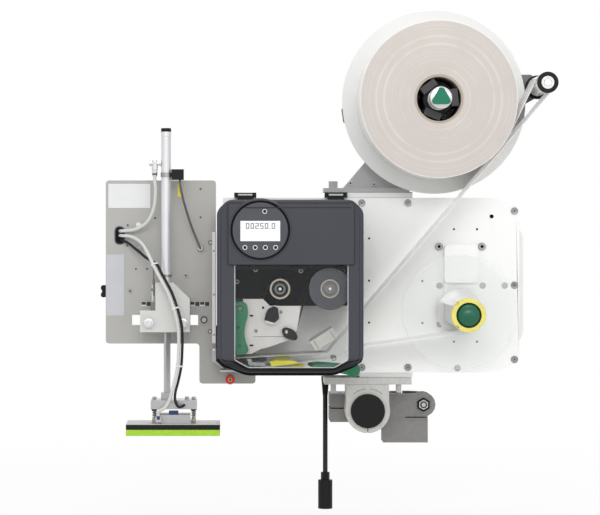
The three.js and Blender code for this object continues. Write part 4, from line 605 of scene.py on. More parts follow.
# Hoses and leads, on the routes of the part's source
HOSE_RADIUS = 3
CABLE_RADIUS = 2.4
SENSOR_RADIUS = 2
POWER_RADIUS = 4.3
VALVE_HOSE = [
    (-377.4, -54, 415.7), (-377.4, -54, 408), (-376, -52, 393), (-379, -46, 362), (-391, -36, 337),
    (-411, -25, 324), (-432, -16, 321), (-441, -6, 320.5), (-441, 4, 320.5), (-441, 15.7, 320.5),
]
PAD_HOSE = [
    (-441, 15.7, 312.5), (-441, 4, 312.5), (-441, -6, 312.5), (-434, -16, 312), (-422, -23, 311),
    (-410, -31, 306), (-400, -42, 298), (-392, -54, 286), (-385, -66, 273), (-378, -76, 259),
    (-370, -83, 244), (-361, -88, 228), (-353, -90, 213), (-347, -92, 198), (-342, -94, 183),
    (-338, -95, 168), (-335, -95, 151), (-334, -95, 131), (-334.5, -95, 110), (-336, -95, 86),
    (-341, -95, 61), (-345.5, -95, 44), (-350, -94, 28), (-358, -92, 14), (-368, -88, 7),
    (-370, -86, 3.5), (-370, -86, -2.1),
]
SENSOR_LEAD = [
    (-333, -54, 409.9), (-333, -54, 404), (-331, -51, 391), (-327, -43, 373), (-321, -35, 352),
    (-314, -28, 330), (-305, -24, 307), (-299.5, -23, 294), (-298, -20.5, 290), (-298, -16.6, 290),
]
BUNDLE_SIDE = 6
BUNDLE_BACK = 2.5
BUNDLE_FIRST, BUNDLE_LAST = 8, 23
LEAD_X, LEAD_Y, LEAD_TOP, LEAD_END = -72, 92, 56.2, -118
LEAD_STEPS = 16


def beside(route):
    """The cable is tied to the right of the hose, a little behind it."""
    out = []
    for before, (x, y, z), after in zip(route, route[1:], route[2:]):
        run = math.hypot(after[0] - before[0], after[2] - before[2])
        out.append((x + BUNDLE_SIDE * (before[2] - after[2]) / run, y + BUNDLE_BACK,
                    z + BUNDLE_SIDE * (after[0] - before[0]) / run))
    return out


PAD_CABLE = [
    (-441, 15.7, 304.5), (-441, 4, 304.5), (-441, -6, 304.5), (-435, -15, 303.5), (-424, -21, 298),
    (-414, -26, 290), (-405, -34, 283), (-395, -46, 275), (-385, -58, 269),
    *beside(PAD_HOSE[BUNDLE_FIRST:BUNDLE_LAST]),
    (-341, -96, 30), (-338.5, -98, 20), (-334, -98, 15), (-329, -96.5, 15.5),
    (-325.5, -92, 17.3), (-325.5, -87.4, 17.3),
]
POWER_LEAD = [(LEAD_X, LEAD_Y, LEAD_TOP - (LEAD_TOP - LEAD_END) * i / LEAD_STEPS)
              for i in range(LEAD_STEPS + 1)]


def spline(points, steps):
    """Points along a smooth curve through the given ones."""
    ends = [points[0], *points, points[-1]]
    out = []
    for i in range(1, len(ends) - 2):
        p0, p1, p2, p3 = (Vector(p) for p in ends[i - 1:i + 3])
        for k in range(steps):
            t = k / steps
            out.append(0.5 * ((2 * p1) + (p2 - p0) * t + (2 * p0 - 5 * p1 + 4 * p2 - p3) * t * t
                              + (3 * p1 - p0 - 3 * p2 + p3) * t * t * t))
    return [*out, Vector(points[-1])]


def tube_into(bm, points, radius, sides=12):
    """A closed round tube through points, turned as little as possible from one section to the next."""
    points = [Vector(point) for point in points]
    side = Vector((1, 0, 0))
    rings = []
    for before, here, after in zip([points[0], *points], points, [*points[1:], points[-1]]):
        ahead = (after - before).normalized()
        side = (side - ahead * side.dot(ahead)).normalized()
        up = ahead.cross(side)
        angles = [TURN * k / sides for k in range(sides)]
        rings.append([bm.verts.new(at(*(here + side * radius * math.cos(angle)
                                        + up * radius * math.sin(angle))))
                      for angle in angles])
    for a, b in zip(rings, rings[1:]):
        bridge(bm, a, b)
    bm.faces.new(rings[0])
    bm.faces.new(rings[-1])


def bending(bm, name, look, angle=SMOOTH_ANGLE):
    """A piece with its material, its place written into its mesh; it rides no body."""
    thing = add_object(name, mesh_of(bm, name, angle))
    thing.data.materials.append(M[look])
    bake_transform(thing)
    return thing


def loose_cord(node, route, radius, look, steps=6,
               moves=False):
    """A cord in place of its plain tube; one that moves is added unattached, the others ride the frame."""
    name = node + "_skin"
    line = spline(route, steps)
    bm = bmesh.new()
    tube_into(bm, line, radius)
    if moves:
        thing = bending(bm, name, look, 50)
        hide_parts(node)
    else:
        thing = put(bm, name, look, node=node, angle=50)
    return line


loose_cord("valve_hose", VALVE_HOSE, HOSE_RADIUS, "hose")
hose_line = loose_cord("pad_hose", PAD_HOSE, HOSE_RADIUS, "hose", moves=True)
cable_line = loose_cord("pad_cable", PAD_CABLE, CABLE_RADIUS, "cable", moves=True)
loose_cord("sensor_lead", SENSOR_LEAD, SENSOR_RADIUS, "sensor_lead")
loose_cord("power_lead", POWER_LEAD, POWER_RADIUS, "cable", steps=2)
lathe("lead_strain_relief", [(0, 56.4), (7.2, 56.4), (7.0, 50), (6.2, 42), (5.3, 30), (4.6, 22), (0, 22)],
      (LEAD_X, LEAD_Y, 0), "rubber", along="z", steps=32)

TIE_GROW = 1.1
TIE_INNER = 0.1
TIE_HALF_WIDTH = 1.4
TIE_STEPS = 12
TIE_HEIGHTS = (262.2, 186.3, 85.4)


def tie(name, z):
    """A cable tie round the hose and the cable at the height z."""
    hose = min(hose_line, key=lambda point: abs(point.z - z))
    place = hose_line.index(hose)
    ahead = (hose_line[place + 1] - hose_line[place - 1]).normalized()
    cable = min(cable_line, key=lambda point: (abs((point - hose).dot(ahead))
                                               + abs((point - hose).length - BUNDLE_SIDE)))
    side = cable - hose
    side = side - ahead * side.dot(ahead)
    reach = side.length
    side.normalize()
    up = ahead.cross(side)
    bm = bmesh.new()
    loops = []
    for along, grow in ((-TIE_HALF_WIDTH, TIE_GROW), (TIE_HALF_WIDTH, TIE_GROW), (TIE_HALF_WIDTH, TIE_INNER),
                        (-TIE_HALF_WIDTH, TIE_INNER)):
        loop = []
        for middle, radius, start in ((reach, CABLE_RADIUS, -TURN / 4), (0, HOSE_RADIUS, TURN / 4)):
            for k in range(TIE_STEPS + 1):
                angle = start + TURN / 2 * k / TIE_STEPS
                corner = (hose + ahead * along + side * (middle + (radius + grow) * math.cos(angle))
                          + up * (radius + grow) * math.sin(angle))
                loop.append(bm.verts.new(at(*corner)))
        loops.append(loop)
    for a, b in zip(loops, loops[1:] + loops[:1]):
        bridge(bm, a, b)
    bending(bm, name, "white")


for number, height in enumerate(TIE_HEIGHTS):
    tie(f"cable_tie_{number + 1}", height)

# Places in the photograph, in pixels: single spots, outlines, and areas as left, right, top and bottom
SPOTS = {
    "panel_bolts": [(439, 246.5), (481.9, 246.5)],
    "panel_plugs": [(439.5, 285.6), (482.6, 285.6), (504.7, 285.6), (439.5, 324.3), (457.4, 368)],
    "panel_holes": [(369, 238.4), (422.4, 238.4), (369, 280.6), (369, 322.6), (422.4, 281), (422.4, 323),
                    (453.9, 229.2), (477, 229.2), (453.9, 341.7), (477, 341.7)],
    "panel_sight_hole": [(491.7, 216.5)],
    "head_holes": [(263.1, 307.7)],
    "head_slots": [(251.5, 315.7), (251.5, 345.4)],
    "head_screws": [(256, 331), (281, 312)],
    "latch_pin": [(286.4, 331.4)],
    "tray_right_screw": [(334.2, 359.4)],
    "peel_screw": [(213.9, 349.8)],
    "plate_small_screws": [(200.5, 189), (200.5, 217.4), (155.2, 217.9), (127.7, 225.2), (127.3, 245.5),
                           (135.9, 268.9), (147, 268.9)],
    "plate_bolts_small": [(185.8, 275.3), (130, 290.9)],
    "ringed_holes_small": [(210.4, 242.5), (210, 331.5)],
    "ringed_hole_large": [(204, 319.8)],
    "plate_white_screw": [(213.5, 348.8)],
    "cable_clip_white": [(138.6, 225.4)],
    "stop_screw": [(153.6, 290)],
}
OUTLINES = {
    "head_black_lug": [(268.9, 308.2), (273.5, 305.4), (278.4, 307.8), (279.2, 318.9), (274.6, 323.2),
                       (264.0, 320),
                       (266.6, 311.4)],
    "tray_yellow_film": [(269, 361.4), (274, 360.4), (294, 360.6), (301, 363.4), (307, 366.6), (272, 366.8)],
    "tray_olive_film": [(274.5, 354.6), (289, 355), (289.5, 360.2), (273.5, 360.2)],
    "tray_green_strip": [(313, 365.2), (336, 363.2), (337, 364.6), (330, 367.2), (312, 367.6)],
    "tray_left_clip": [(247, 359), (251, 358.4), (252, 362), (266, 363.4), (265, 366.4), (249, 366)],
    "tray_left_shade": [(252, 357.6), (266, 357), (268, 360.4), (262, 362), (252.6, 361)],
    "tray_right_clip": [(329.5, 355), (335.5, 354.6), (337, 359.6), (332, 361)],
}
AREAS = {
    "blank_name_plate": (108.3, 150.4, 183.8, 208),
    "blank_rating_plate": (106.2, 124, 254.4, 315.5),
    "scale_strip": (141.3, 209.6, 301.7, 306.0),
    "cable_clip_grey": (137.6, 142.4, 245.0, 249.6),
}
HEAD_FRONT = -110
LATCH_FRONT = -118.3
TRAY_FRONT = -118
LUG_FRONT = -115
SIDE_FRONT = -94
FACE = -8.3


def spots(name, y, radius, height):
    out = []
    for pixel in SPOTS[name]:
        x, z = spot(*pixel, y)
        out.append((x, y, z, radius, height))
    return out


# The near-black discs of the holes are painted shade.
for maker, name, y, radius, height, look in (
        (screws, "panel_bolts", -1.6, 6.8, 2.4, "zinc"),
        (discs, "panel_plugs", 0, 5.8, 0.5, "bracket"),
        (discs, "panel_holes", 0, 1.9, 0.12, "dark_hole"),
        (discs, "panel_sight_hole", 0, 3.5, 0.15, "dark_hole"),
        (discs, "head_holes", HEAD_FRONT, 2.2, 0.15, "dark_hole"),
        (screws, "head_screws", HEAD_FRONT, 3.2, 1.4, "zinc"),
        (discs, "latch_pin", LATCH_FRONT, 2.6, 0.9, "zinc"),
        (discs, "tray_right_screw", TRAY_FRONT, 2.6, 1.0, "alu"),
        (discs, "peel_screw", SIDE_FRONT, 1.9, 0.6, "white"),
        (discs, "plate_small_screws", FACE, 1.8, 0.4, "screw_edge"),
        (screws, "plate_bolts_small", FACE, 4.0, 1.8, "zinc"),
        (discs, "plate_white_screw", FACE, 2.6, 0.8, "white")):
    maker(name, spots(name, y, radius, height), look)

for name, y, depth, look, reach, rounded in (
        ("head_black_lug", LUG_FRONT, 4.4, "black", 2.6, 1.2),
        ("tray_yellow_film", TRAY_FRONT, 0.4, "tray_film", 3, 0.15),
        # This darker strip of the tray film is painted shade.
        ("tray_olive_film", TRAY_FRONT + 3, 0.3, "olive_film", 2, 0.15),
        ("tray_green_strip", TRAY_FRONT, 0.5, "teal", 1, 0.15),
        ("tray_left_clip", TRAY_FRONT, 0.8, "zinc", 1, 0.15),
        ("tray_left_shade", TRAY_FRONT + 2, 0.5, "slate_dark", 3, 0.15),
        ("tray_right_clip", TRAY_FRONT + 2, 0.8, "alu_dark", 3, 0.15)):
    outline = [spot(px, py, y) for px, py in OUTLINES[name]]
    slab(name, soft_outline(outline, reach, 4), y - depth, y, look, rounded=rounded)

for name, y, height, look, rounded in (
        ("blank_name_plate", FACE, 0.9, "white", 0.15),
        ("blank_rating_plate", FACE, 0.5, "rating", 0.15),
        ("scale_strip", FACE, 0.4, "white", 0.15),
        ("cable_clip_grey", -14, 5.6, "zinc", 0.8)):
    left, right, top, bottom = AREAS[name]
    x0, z1 = spot(left, top, y)
    x1, z0 = spot(right, bottom, y)
    block(name, x0, x1, y - height, y, z0, z1, look, rounded=rounded)

# Unwinder: flange, paper roll, hub with its jaws, lock knob
REEL = (REEL_X, 0, REEL_Z)
ROLL_RADIUS = 136.2
WEB_FRONT, WEB_BACK = -127.3, -26.3
lathe("reel_flange_disc", [(8.4, -26), (160.6, -26), (161.6, -25.6), (162, -25), (162, -24), (161.6, -23.3),
                           (160.6, -23), (8.4, -23), (8.4, -26)],
      REEL, "flange", "reel", steps=160, node="reel_flange")
turned("label_roll_wound", [REEL], [
    (1, [(135.4, WEB_FRONT), (136.0, -127.0), (ROLL_RADIUS, -126.4), (ROLL_RADIUS, -26.5),
         (135.9, WEB_BACK)]),
    (0, [(135.9, WEB_BACK), (38.2, WEB_BACK), (38.2, -126.8), (38.7, WEB_FRONT), (135.4, WEB_FRONT)]),
], "roll_edge roll_side", "reel", "label_roll", steps=160)

# Hub: drum with three clamping jaws of flat outer faces, one screw, and the washer behind the knob
HUB_FACE = -111.3
JAW_FRONT = -119.1
JAW_ANGLES = (6.8, 127.6, 247.9)
JAW_INNER = 21.0
JAW_REACH = 34.4
JAW_HALF = 15.2
HUB_SCREW_ANGLE = -74
HUB_SCREW_REACH = 31.4
bm = bmesh.new()
lathe_into(bm, [(0, -26.6), (26, -26.6), (27, -27.2), (27, -110), (25.8, HUB_FACE), (13.5, HUB_FACE),
                (12.5, -110.2),
                (9, -110.2), (9, HUB_FACE), (0, HUB_FACE)], REEL, steps=72)
for degrees in JAW_ANGLES:
    jaw = turned_by(REEL_X, REEL_Z, math.radians(degrees),
                    rectangle(JAW_INNER, JAW_REACH, -JAW_HALF, JAW_HALF))
    slab_into(bm, jaw, JAW_FRONT, -27.4, 1)
put(bm, "reel_hub_jaws", "black jaw", "reel", "reel_hub", rounded=1.0)
bm = bmesh.new()
screw_x, screw_z = polar(REEL_X, REEL_Z, HUB_SCREW_REACH, math.radians(HUB_SCREW_ANGLE))
hub_screw = (screw_x, 0, screw_z)
lathe_into(bm, [(0, -27.4), (3.8, -27.4), (3.8, -116.2), (3.3, -116.7), (2.5, -116.7)], hub_screw, steps=28)
# The recess in the screw's head is near-black: painted shade.
lathe_into(bm, [(2.5, -116.7), (2.2, -114), (0, -114)], hub_screw, steps=28, index=1)
lathe_into(bm, [(8.6, HUB_FACE - 0.1), (19, HUB_FACE - 0.1), (19, -118.4), (18.4, -118.9), (8.6, -118.9),
                (8.6, HUB_FACE - 0.1)], REEL, steps=64, index=2)
put(bm, "reel_hub_screw", "jaw dark_hole knob_metal", "reel", weld=True)

KNOB_TIP_RADIUS = 5.6
KNOB_TIP_REACH = 11.7
bm = bmesh.new()
lathe_into(bm, [(0, -165), (17.4, -165), (18.8, -164.3), (19.2, -162.8), (19.2, -153), (18.6, -151.4),
                (17, -151),
                (7, -151), (7, -119.4), (0, -119.4)], REEL, steps=80)
grip = []
for i in range(3):
    angle = TURN / 4 + TURN * i / 3
    tip_x, tip_z = polar(REEL_X, REEL_Z, KNOB_TIP_REACH, angle)
    grip += arc(tip_x, tip_z, KNOB_TIP_RADIUS, angle - TURN / 6, angle + TURN / 6, 14)
slab_into(bm, grip, -175, -164.8, 1)
put(bm, "reel_knob_grip", "knob_metal green_knob", "reel_lock", "reel_knob", 0.9, 3,
    weld=True)

block("bracket_white_strip", -35.6, 79.6, 7.6, 8.0, 380.2, 389.0, "white", rounded=0.1)
block("bracket_seam", -77.4, 79.8, 7.7, 8.0, 388.9, 389.5, "slate_dark", rounded=0)
screws("bracket_upright_screws", [(x, 20, z, 4.2, 2.2) for x, z in ((-30, 406), (60, 406), (12, 404))],
       "zinc")

# Deflection roller
ROLLER_X, ROLLER_Z = 298.4, 574.8
SLEEVE_RADIUS = 15.8
turned("roller_body", [(ROLLER_X, 0, ROLLER_Z)], [
    (0, [(SLEEVE_RADIUS, -26), (SLEEVE_RADIUS, -154)]),
    (1, [(6.4, -20), (20.2, -20), (21, -20.8), (21, -25.2), (20.2, -26), (SLEEVE_RADIUS, -26)]),
    (1, [(SLEEVE_RADIUS, -154), (17.6, -154), (18.3, -154.8), (18.3, -159.2), (17.6, -160), (12.4, -160),
         (11.8, -159.4), (11.5, -158.5)]),
    (2, [(11.5, -158.5), (10.8, -159.3), (9.4, -159.3), (9.0, -158.8), (6.9, -158.8), (6.6, -159.2),
         (6.4, -158.2),
         (6.4, -20)]),
], "roller_white black steel_y", "roller", "deflection_roller", steps=72)
discs("roller_shaft_end", [(ROLLER_X, -159.3, ROLLER_Z, 6.2, 0.7)], "roller_white", "dancer")

# Paper web
STRIP_ANGLE = 40


def strip(path, y0, y1, thickness=0.5):
    """A strip of paper or film along a path of (x, z)."""
    bm = bmesh.new()
    rows = []
    for (au, av), (u, v), (bu, bv) in zip([path[0], *path], path, [*path[1:], path[-1]]):
        size = math.hypot(bu - au, bv - av)
        nu, nv = -(bv - av) / size * thickness / 2, (bu - au) / size * thickness / 2
        corners = ((u + nu, y0, v + nv), (u + nu, y1, v + nv), (u - nu, y1, v - nv), (u - nu, y0, v - nv))
        rows.append([bm.verts.new(at(*corner)) for corner in corners])
    for a, b in zip(rows, rows[1:]):
        bridge(bm, a, b)
    bm.faces.new(rows[0])
    bm.faces.new(rows[-1][::-1])
    return bm


WEB_OFF = 1.0
WEB_MIDDLE = -76
GUIDE_X, GUIDE_Z = -76.0, 109.5
GUIDE_MEET = (-12, WEB_MIDDLE, 178)
roll_offset = ROLL_RADIUS + WEB_OFF
roller_offset = SLEEVE_RADIUS + WEB_OFF
reach = math.hypot(ROLLER_X - REEL_X, ROLLER_Z - REEL_Z)
base_angle = math.atan2(ROLLER_Z - REEL_Z, ROLLER_X - REEL_X)
leave_roll = base_angle - math.acos((roll_offset + roller_offset) / reach)
meet_roller = leave_roll + TURN / 2
leave_roller = (math.atan2(GUIDE_Z - ROLLER_Z, GUIDE_X - ROLLER_X)
                + math.acos(roller_offset / math.hypot(GUIDE_X - ROLLER_X, GUIDE_Z - ROLLER_Z)))
split = (meet_roller + leave_roller) / 2
start = polar(REEL_X, REEL_Z, roll_offset, leave_roll)
wrap_in = arc(ROLLER_X, ROLLER_Z, roller_offset, meet_roller, split, 20)
wrap_out = arc(ROLLER_X, ROLLER_Z, roller_offset, split, leave_roller, 20)
upper_path = between(start, wrap_in[0], 14)[:-1] + wrap_in
lower_path = wrap_out + between(wrap_out[-1], (GUIDE_X, GUIDE_Z), 60)[1:] + [(-229, 101.4), (-258, 93)]
liner_path = [(-252, 87), (-248, 84), (-242, 82.2), (-215, 82), (-60, 100), (-12.6, 121.2), (161.3, 144.9)]
for side, path, first, last in (("upper", upper_path, (start[0], WEB_MIDDLE, start[1]), wrap_in[0]),
                                ("lower", lower_path, GUIDE_MEET, wrap_out[-1])):
    paper = bending(strip(path, WEB_FRONT, WEB_BACK), f"web_{side}_paper", "liner", STRIP_ANGLE)
    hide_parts(f"label_web_{side}")
put(strip(liner_path, WEB_FRONT, WEB_BACK), "liner_paper_return", "liner", node="liner_return",
    angle=STRIP_ANGLE)

# Screws at the panel's edges: a socket head in a flat washer with a dark edge; the washer's rim, the gap
# round the head and the socket take dark grey, painted shade
WASHER = -1.55
turned("panel_edge_screws", [(x, 0, z) for x, z in ((71.3, 370.5), (71.3, 77.5), (-10.7, 370.5),
                                                    (-10.7, 77.5),
                                                    (261, 356.1), (261, 224), (261, 91.9))], [
    (1, [(0, WASHER + 1.2), (6.2, WASHER + 1.2), (6.2, WASHER - 0.1), (5.6, WASHER - 0.15)]),
    (0, [(5.6, WASHER - 0.15), (5.4, WASHER - 0.5), (3.7, WASHER - 0.5)]),
    (1, [(3.7, WASHER - 0.5), (3.3, WASHER - 0.35)]),
    (0, [(3.3, WASHER - 0.35), (3.2, WASHER - 1.5), (2.8, WASHER - 1.8), (1.7, WASHER - 1.8)]),
    (1, [(1.7, WASHER - 1.8), (1.5, WASHER - 0.8), (0, WASHER - 0.8)]),
], "zinc screw_edge", steps=32, angle=30)

# Liner rewinder: clear disc with a hexagonal hole, near-black discs in the mandrel's recesses as painted
# shade, notched ring and dome
REWIND_X, REWIND_Z = 161.3, 177.0
DISC_RADIUS = 100.2
DISC_STEPS = 144
DISC_FRONT, DISC_BACK = -24.0, -22.0
HEXAGON_RADIUS = 31.3
RECESS_REACH = 25.8
corners = hexagon(REWIND_X, REWIND_Z, HEXAGON_RADIUS, TURN / 12)
inner = []
for corner, following in zip(corners, corners[1:] + corners[:1]):
    inner += between(corner, following, DISC_STEPS // 6)[:-1]
half_side = DISC_STEPS // 12
inner = inner[-half_side:] + inner[:-half_side]
bm = bmesh.new()
layers = []
for y, grow in ((DISC_FRONT, 0.0), (-23.5, 0.6), (-22.5, 0.6), (DISC_BACK, 0.0)):
    layers.append([bm.verts.new(at(x, y, z))
                   for x, z in circle(REWIND_X, REWIND_Z, DISC_RADIUS + grow, DISC_STEPS)])
front, rear = ([bm.verts.new(at(x, y, z)) for x, z in inner] for y in (DISC_FRONT, DISC_BACK))
for a, b in zip(layers, layers[1:]):
    bridge(bm, a, b, 1)
bridge(bm, layers[0], front)
bridge(bm, rear, layers[-1])
bridge(bm, front, rear, 1)
put(bm, "clear_disc", "clear_disc disc_edge", "rewinder", "rewind_disc")
turned("mandrel_recess_shade", [(x, 0, z) for x, z in hexagon(REWIND_X, REWIND_Z, RECESS_REACH,
                                                                 TURN / 12)],
       [(0, [(0, -160.02), (3.1, -160.02), (3.1, -160.2), (0, -160.2)])], "dark_hole", "rewinder", steps=20)

RING_STEPS = 144
NOTCH_RADIUS = 25.6
NOTCH_FROM = 25
NOTCH_Y = -175
NOTCH_HALF_DEGREES = 7.2
bm = bmesh.new()
rows = []
for radius, y in [(21.6, -180.3), (28.2, -180.3), (29.1, -179.7), (29.4, -178.6), (29.4, -161.8),
                  (28.8, -160.6),
                  (27.4, -160.3), (21.6, -160.3), (21.6, -180.3)]:
    row = []
    for i in range(RING_STEPS):
        angle = TURN * i / RING_STEPS
        notched = (abs(math.degrees(angle) % 90 - 45) < NOTCH_HALF_DEGREES and radius > NOTCH_FROM
                   and y < NOTCH_Y)
        x, z = polar(REWIND_X, REWIND_Z, min(radius, NOTCH_RADIUS) if notched else radius, angle)
        row.append(bm.verts.new(at(x, y, z)))
    rows.append(row)
for a, b in zip(rows, rows[1:]):
    bridge(bm, a, b)
lathe_into(bm, [(0, -188.3), (5, -188.0), (9.5, -187.0), (13.6, -185.1), (17, -182.3), (19, -179.0),
                (19.5, -176.2),
                (19.5, -164.6), (27, -164.6), (27, -160.3), (0, -160.3)], (REWIND_X, 0, REWIND_Z), index=1)
put(bm, "rewind_knob_dome", "yellow green_dark", "rewind_lock", "rewind_knob", angle=30,
    weld=True)

# Hood: shell with slanted front edges and sill, round dial seat, web slot and knuckles
DIAL_X, DIAL_Z = -193.4, 322.0
DIAL = (DIAL_X, 0, DIAL_Z)
DIAL_SEAT = 50.9
HOOD_FRONT = -152
HOOD_BACK = -11
PANE_SEAT = -149
SHADED_FACING = -0.25
LIP = 4
WINDOW_EDGE = [(-213.6, 85.8), (-66.3, 85.8), (-42.3, 99.1), (-42.3, 262.6), (-237.6, 262.6), (-237.6, 99.1)]
OUTER_EDGE = [(-256.5, 87.5), (-217.8, 71.4), (-65.8, 71.4), (-27.1, 87.5), (-15.8, 99.0), (-15.8, 355.3),
              (-34.8, 374.3), (-248.8, 374.3), (-267.8, 355.3), (-267.8, 99.0)]
FRONT_EDGE = [(-239.0, 98.0), (-214.5, 83.4), (-65.5, 83.4), (-41.0, 98.0), (-24.6, 98.6), (-24.6, 351.5),
              (-39.5, 366.3), (-244.0, 366.3), (-259.0, 351.5), (-259.0, 98.6)]
INNER_EDGE = [(-254.6, 90.3), (-217.0, 74.6), (-66.6, 74.6), (-29.0, 90.3), (-19.0, 100.2), (-19.0, 354.0),
              (-36.2, 371.1), (-247.4, 371.1), (-264.6, 354.0), (-264.6, 100.2)]
FACE_EDGE = [(x, z + (LIP if i in (1, 2) else 0)) for i, (x, z) in enumerate(INNER_EDGE)]
OUTER_DEPTHS = [-131, -130, -130, -131, -140, -143, -143, -143, -143, -140]
INNER_DEPTHS = [y + LIP if y > -135 else PANE_SEAT for y in OUTER_DEPTHS]


def loop_into(bm, points, depths, reach):
    """A closed loop with rounded corners; depths is one y, or one for each corner."""
    rounded = soft_outline(points, reach, 5)
    if isinstance(depths, (int, float)):
        depths = [depths] * len(points)
    each = len(rounded) // len(points)
    return [bm.verts.new(at(x, depths[i // each], z)) for i, (x, z) in enumerate(rounded)]


def cap(bm, *loops):
    """Fills the area between closed loops in one plane."""
    edges = []
    for loop in loops:
        for pair in zip(loop, loop[1:] + loop[:1]):
            edges.append(bm.edges.get(pair) or bm.edges.new(pair))
    bmesh.ops.triangle_fill(bm, edges=edges, use_beauty=True)


bm = bmesh.new()
back_rim = loop_into(bm, OUTER_EDGE, HOOD_BACK, 9)
front_rim = loop_into(bm, OUTER_EDGE, OUTER_DEPTHS, 9)
face_rim = loop_into(bm, FRONT_EDGE, HOOD_FRONT, 7)
window_front = loop_into(bm, WINDOW_EDGE, HOOD_FRONT, 2.5)
window_back = loop_into(bm, WINDOW_EDGE, PANE_SEAT, 2.5)
inner_front = loop_into(bm, INNER_EDGE, INNER_DEPTHS, 7)
inner_back = loop_into(bm, INNER_EDGE, HOOD_BACK, 7)
inner_face = loop_into(bm, FACE_EDGE, PANE_SEAT, 7)
for a, b in ((back_rim, front_rim), (front_rim, face_rim), (window_front, window_back),
             (inner_front, inner_back),
             (inner_back, back_rim)):
    bridge(bm, a, b)
cap(bm, face_rim, window_front)
bridge(bm, inner_face, inner_front)
cap(bm, inner_face, window_back)
hood = put(bm, "hood_moulding", "hood", "hood", "hood_shell", angle=24, weld=True)
carve(hood, [
    (circle(DIAL_X, DIAL_Z, DIAL_SEAT, 96), -160, -151.6),
    (circle(DIAL_X, DIAL_Z, 12.4, 48), -155, -146),
    (rectangle(-19.3, -10, 100, 222), -133, 0),
    (rectangle(-275, -262, 60, 126), -132, 0),
    (rectangle(-275, -10, 60, 100.2), -126, 0),
], 0.7, 2, 30)
# Faces turned downwards take the near-black slate: painted shade under the sill.
hood.data.materials.append(M["sill"])
for face in hood.data.polygons:
    if face.normal.z < SHADED_FACING:
        face.material_index = 1

fascia = slab("hood_fascia", soft_outline(rectangle(-248, -33, 263.0, 367.2), 3.0, 5), -158, -152.2, "slate",
              "hood")
carve(fascia, [(circle(DIAL_X, DIAL_Z, DIAL_SEAT, 96), -160, -150)], 1.3, 3)
slab("hood_fascia_seam", soft_outline(rectangle(-249.1, -31.9, 261.9, 368.3), 3.0, 5), -152.5, -152.05,
     "slate_dark",
     "hood")
# A near-black strip where the fascia has a shallow groove: painted shade.
block("hood_fascia_groove_shade", -219.5, -37.5, -158.1, -157.9, 359.6, 361.2, "slate_dark", "hood", rounded=0)
lathe("dial_bezel", [(DIAL_SEAT, -152.2), (DIAL_SEAT, -158.4), (51.6, -159.4), (52.6, -159.4), (53.8, -158.2),
                     (54.6, -156.2), (54.6, -152.2), (DIAL_SEAT, -152.2)], DIAL, "slate", "hood", steps=128)

# Knuckles of the hood in its hinges
HINGE_Y, HINGE_Z = -4, 384.4
KNUCKLE_HALF = 14.3
PIN_REACH = 5
for name, x in (("left", -218.2), ("right", -57.2)):
    low, high = x - KNUCKLE_HALF, x + KNUCKLE_HALF
    bm = bmesh.new()
    block_into(bm, low, high, -12, HINGE_Y, 371.3, 383.5)
    for radius, grow, steps in ((4, 0, 32), (1.8, PIN_REACH, 24)):
        lathe_into(bm, [(0, low - grow), (radius, low - grow), (radius, high + grow), (0, high + grow)],
                   (0, HINGE_Y, HINGE_Z), "x", steps)
    put(bm, f"hood_knuckle_{name}", "black", "hood", rounded=0.3)
    block(f"hood_hinge_bar_{name}", low + 1.5, high - 1.5, -9.0, -8.1, 381.6, 386.2, "alu", "hood")

# Window, with a whitish strip along the inner edge of its opening: a painted highlight
HIGHLIGHT_WIDTH = 1.3
WINDOW_MIDDLE = (-140, 180)
slab("window_pane", soft_outline([(-215.5, 81.8), (-64.4, 81.8), (-38.3, 96.3), (-38.3, 266.6),
                                  (-241.6, 266.6),
                                  (-241.6, 96.3)], 3, 4), -148.7, -146.7, "pane", "hood", node="hood_window")
bm = bmesh.new()
for a, b in ((5, 4), (5, 0), (0, 1), (1, 2), (2, 3)):
    (xa, za), (xb, zb) = WINDOW_EDGE[a], WINDOW_EDGE[b]
    size = math.hypot(xb - xa, zb - za)
    nx, nz = -(zb - za) / size * HIGHLIGHT_WIDTH, (xb - xa) / size * HIGHLIGHT_WIDTH
    if nx * (WINDOW_MIDDLE[0] - xa) + nz * (WINDOW_MIDDLE[1] - za) < 0:
        nx, nz = -nx, -nz
    slab_into(bm, [(xa, za), (xb, zb), (xb + nx, zb + nz), (xa + nx, za + nz)], -149.6, -148.8)
put(bm, "window_edge_highlight", "pane_highlight", "hood")

# Control dial with its display and buttons
DISPLAY_Y = -156.0
BUTTON_ROW = DIAL_Z - 29.7
BUTTONS = {
    "button_one": (DIAL_X - 26.25, BUTTON_ROW), "button_two": (DIAL_X - 8.75, BUTTON_ROW),
    "button_three": (DIAL_X + 8.75, BUTTON_ROW), "button_four": (DIAL_X + 26.25, BUTTON_ROW),
    "button_top": (DIAL_X + 7.6, DIAL_Z + 32),
}
dial_disc = turned("dial_disc", [DIAL], [
    (1, [(0, -156.8), (47.3, -156.8)]),
    (0, [(47.3, -156.8), (47.8, -157.6), (48.6, -158.0), (49.8, -158.0), (50.4, -157.5), (50.4, -152.3),
         (12, -152.3), (12, -149), (0, -149)]),
], "black_gloss dial_face", "dial", "control_dial", steps=128)
carve(dial_disc, [(circle(x, z, 4.45, 32), -160, -153.6) for x, z in BUTTONS.values()]
      + [(rectangle(DIAL_X - 34.35, DIAL_X + 34.35, DIAL_Z - 19.1, DIAL_Z + 16.1), -160, DISPLAY_Y)])
for name, (x, z) in BUTTONS.items():
    turned(name + "_cap", [(x, 0, z)], [
        (0, [(0, -154.6), (4.2, -154.6), (4.2, -157.4), (3.9, -157.8), (3.0, -157.8), (2.8, -157.3)]),
        (1, [(2.8, -157.3), (0, -157.2)]),
    ], "white black", name, name, steps=40)
block("display_panel", DIAL_X - 34.1, DIAL_X + 34.1, -156.35, DISPLAY_Y, DIAL_Z - 18.9, DIAL_Z + 15.9,
      "screen",
      "dial", rounded=0.1)

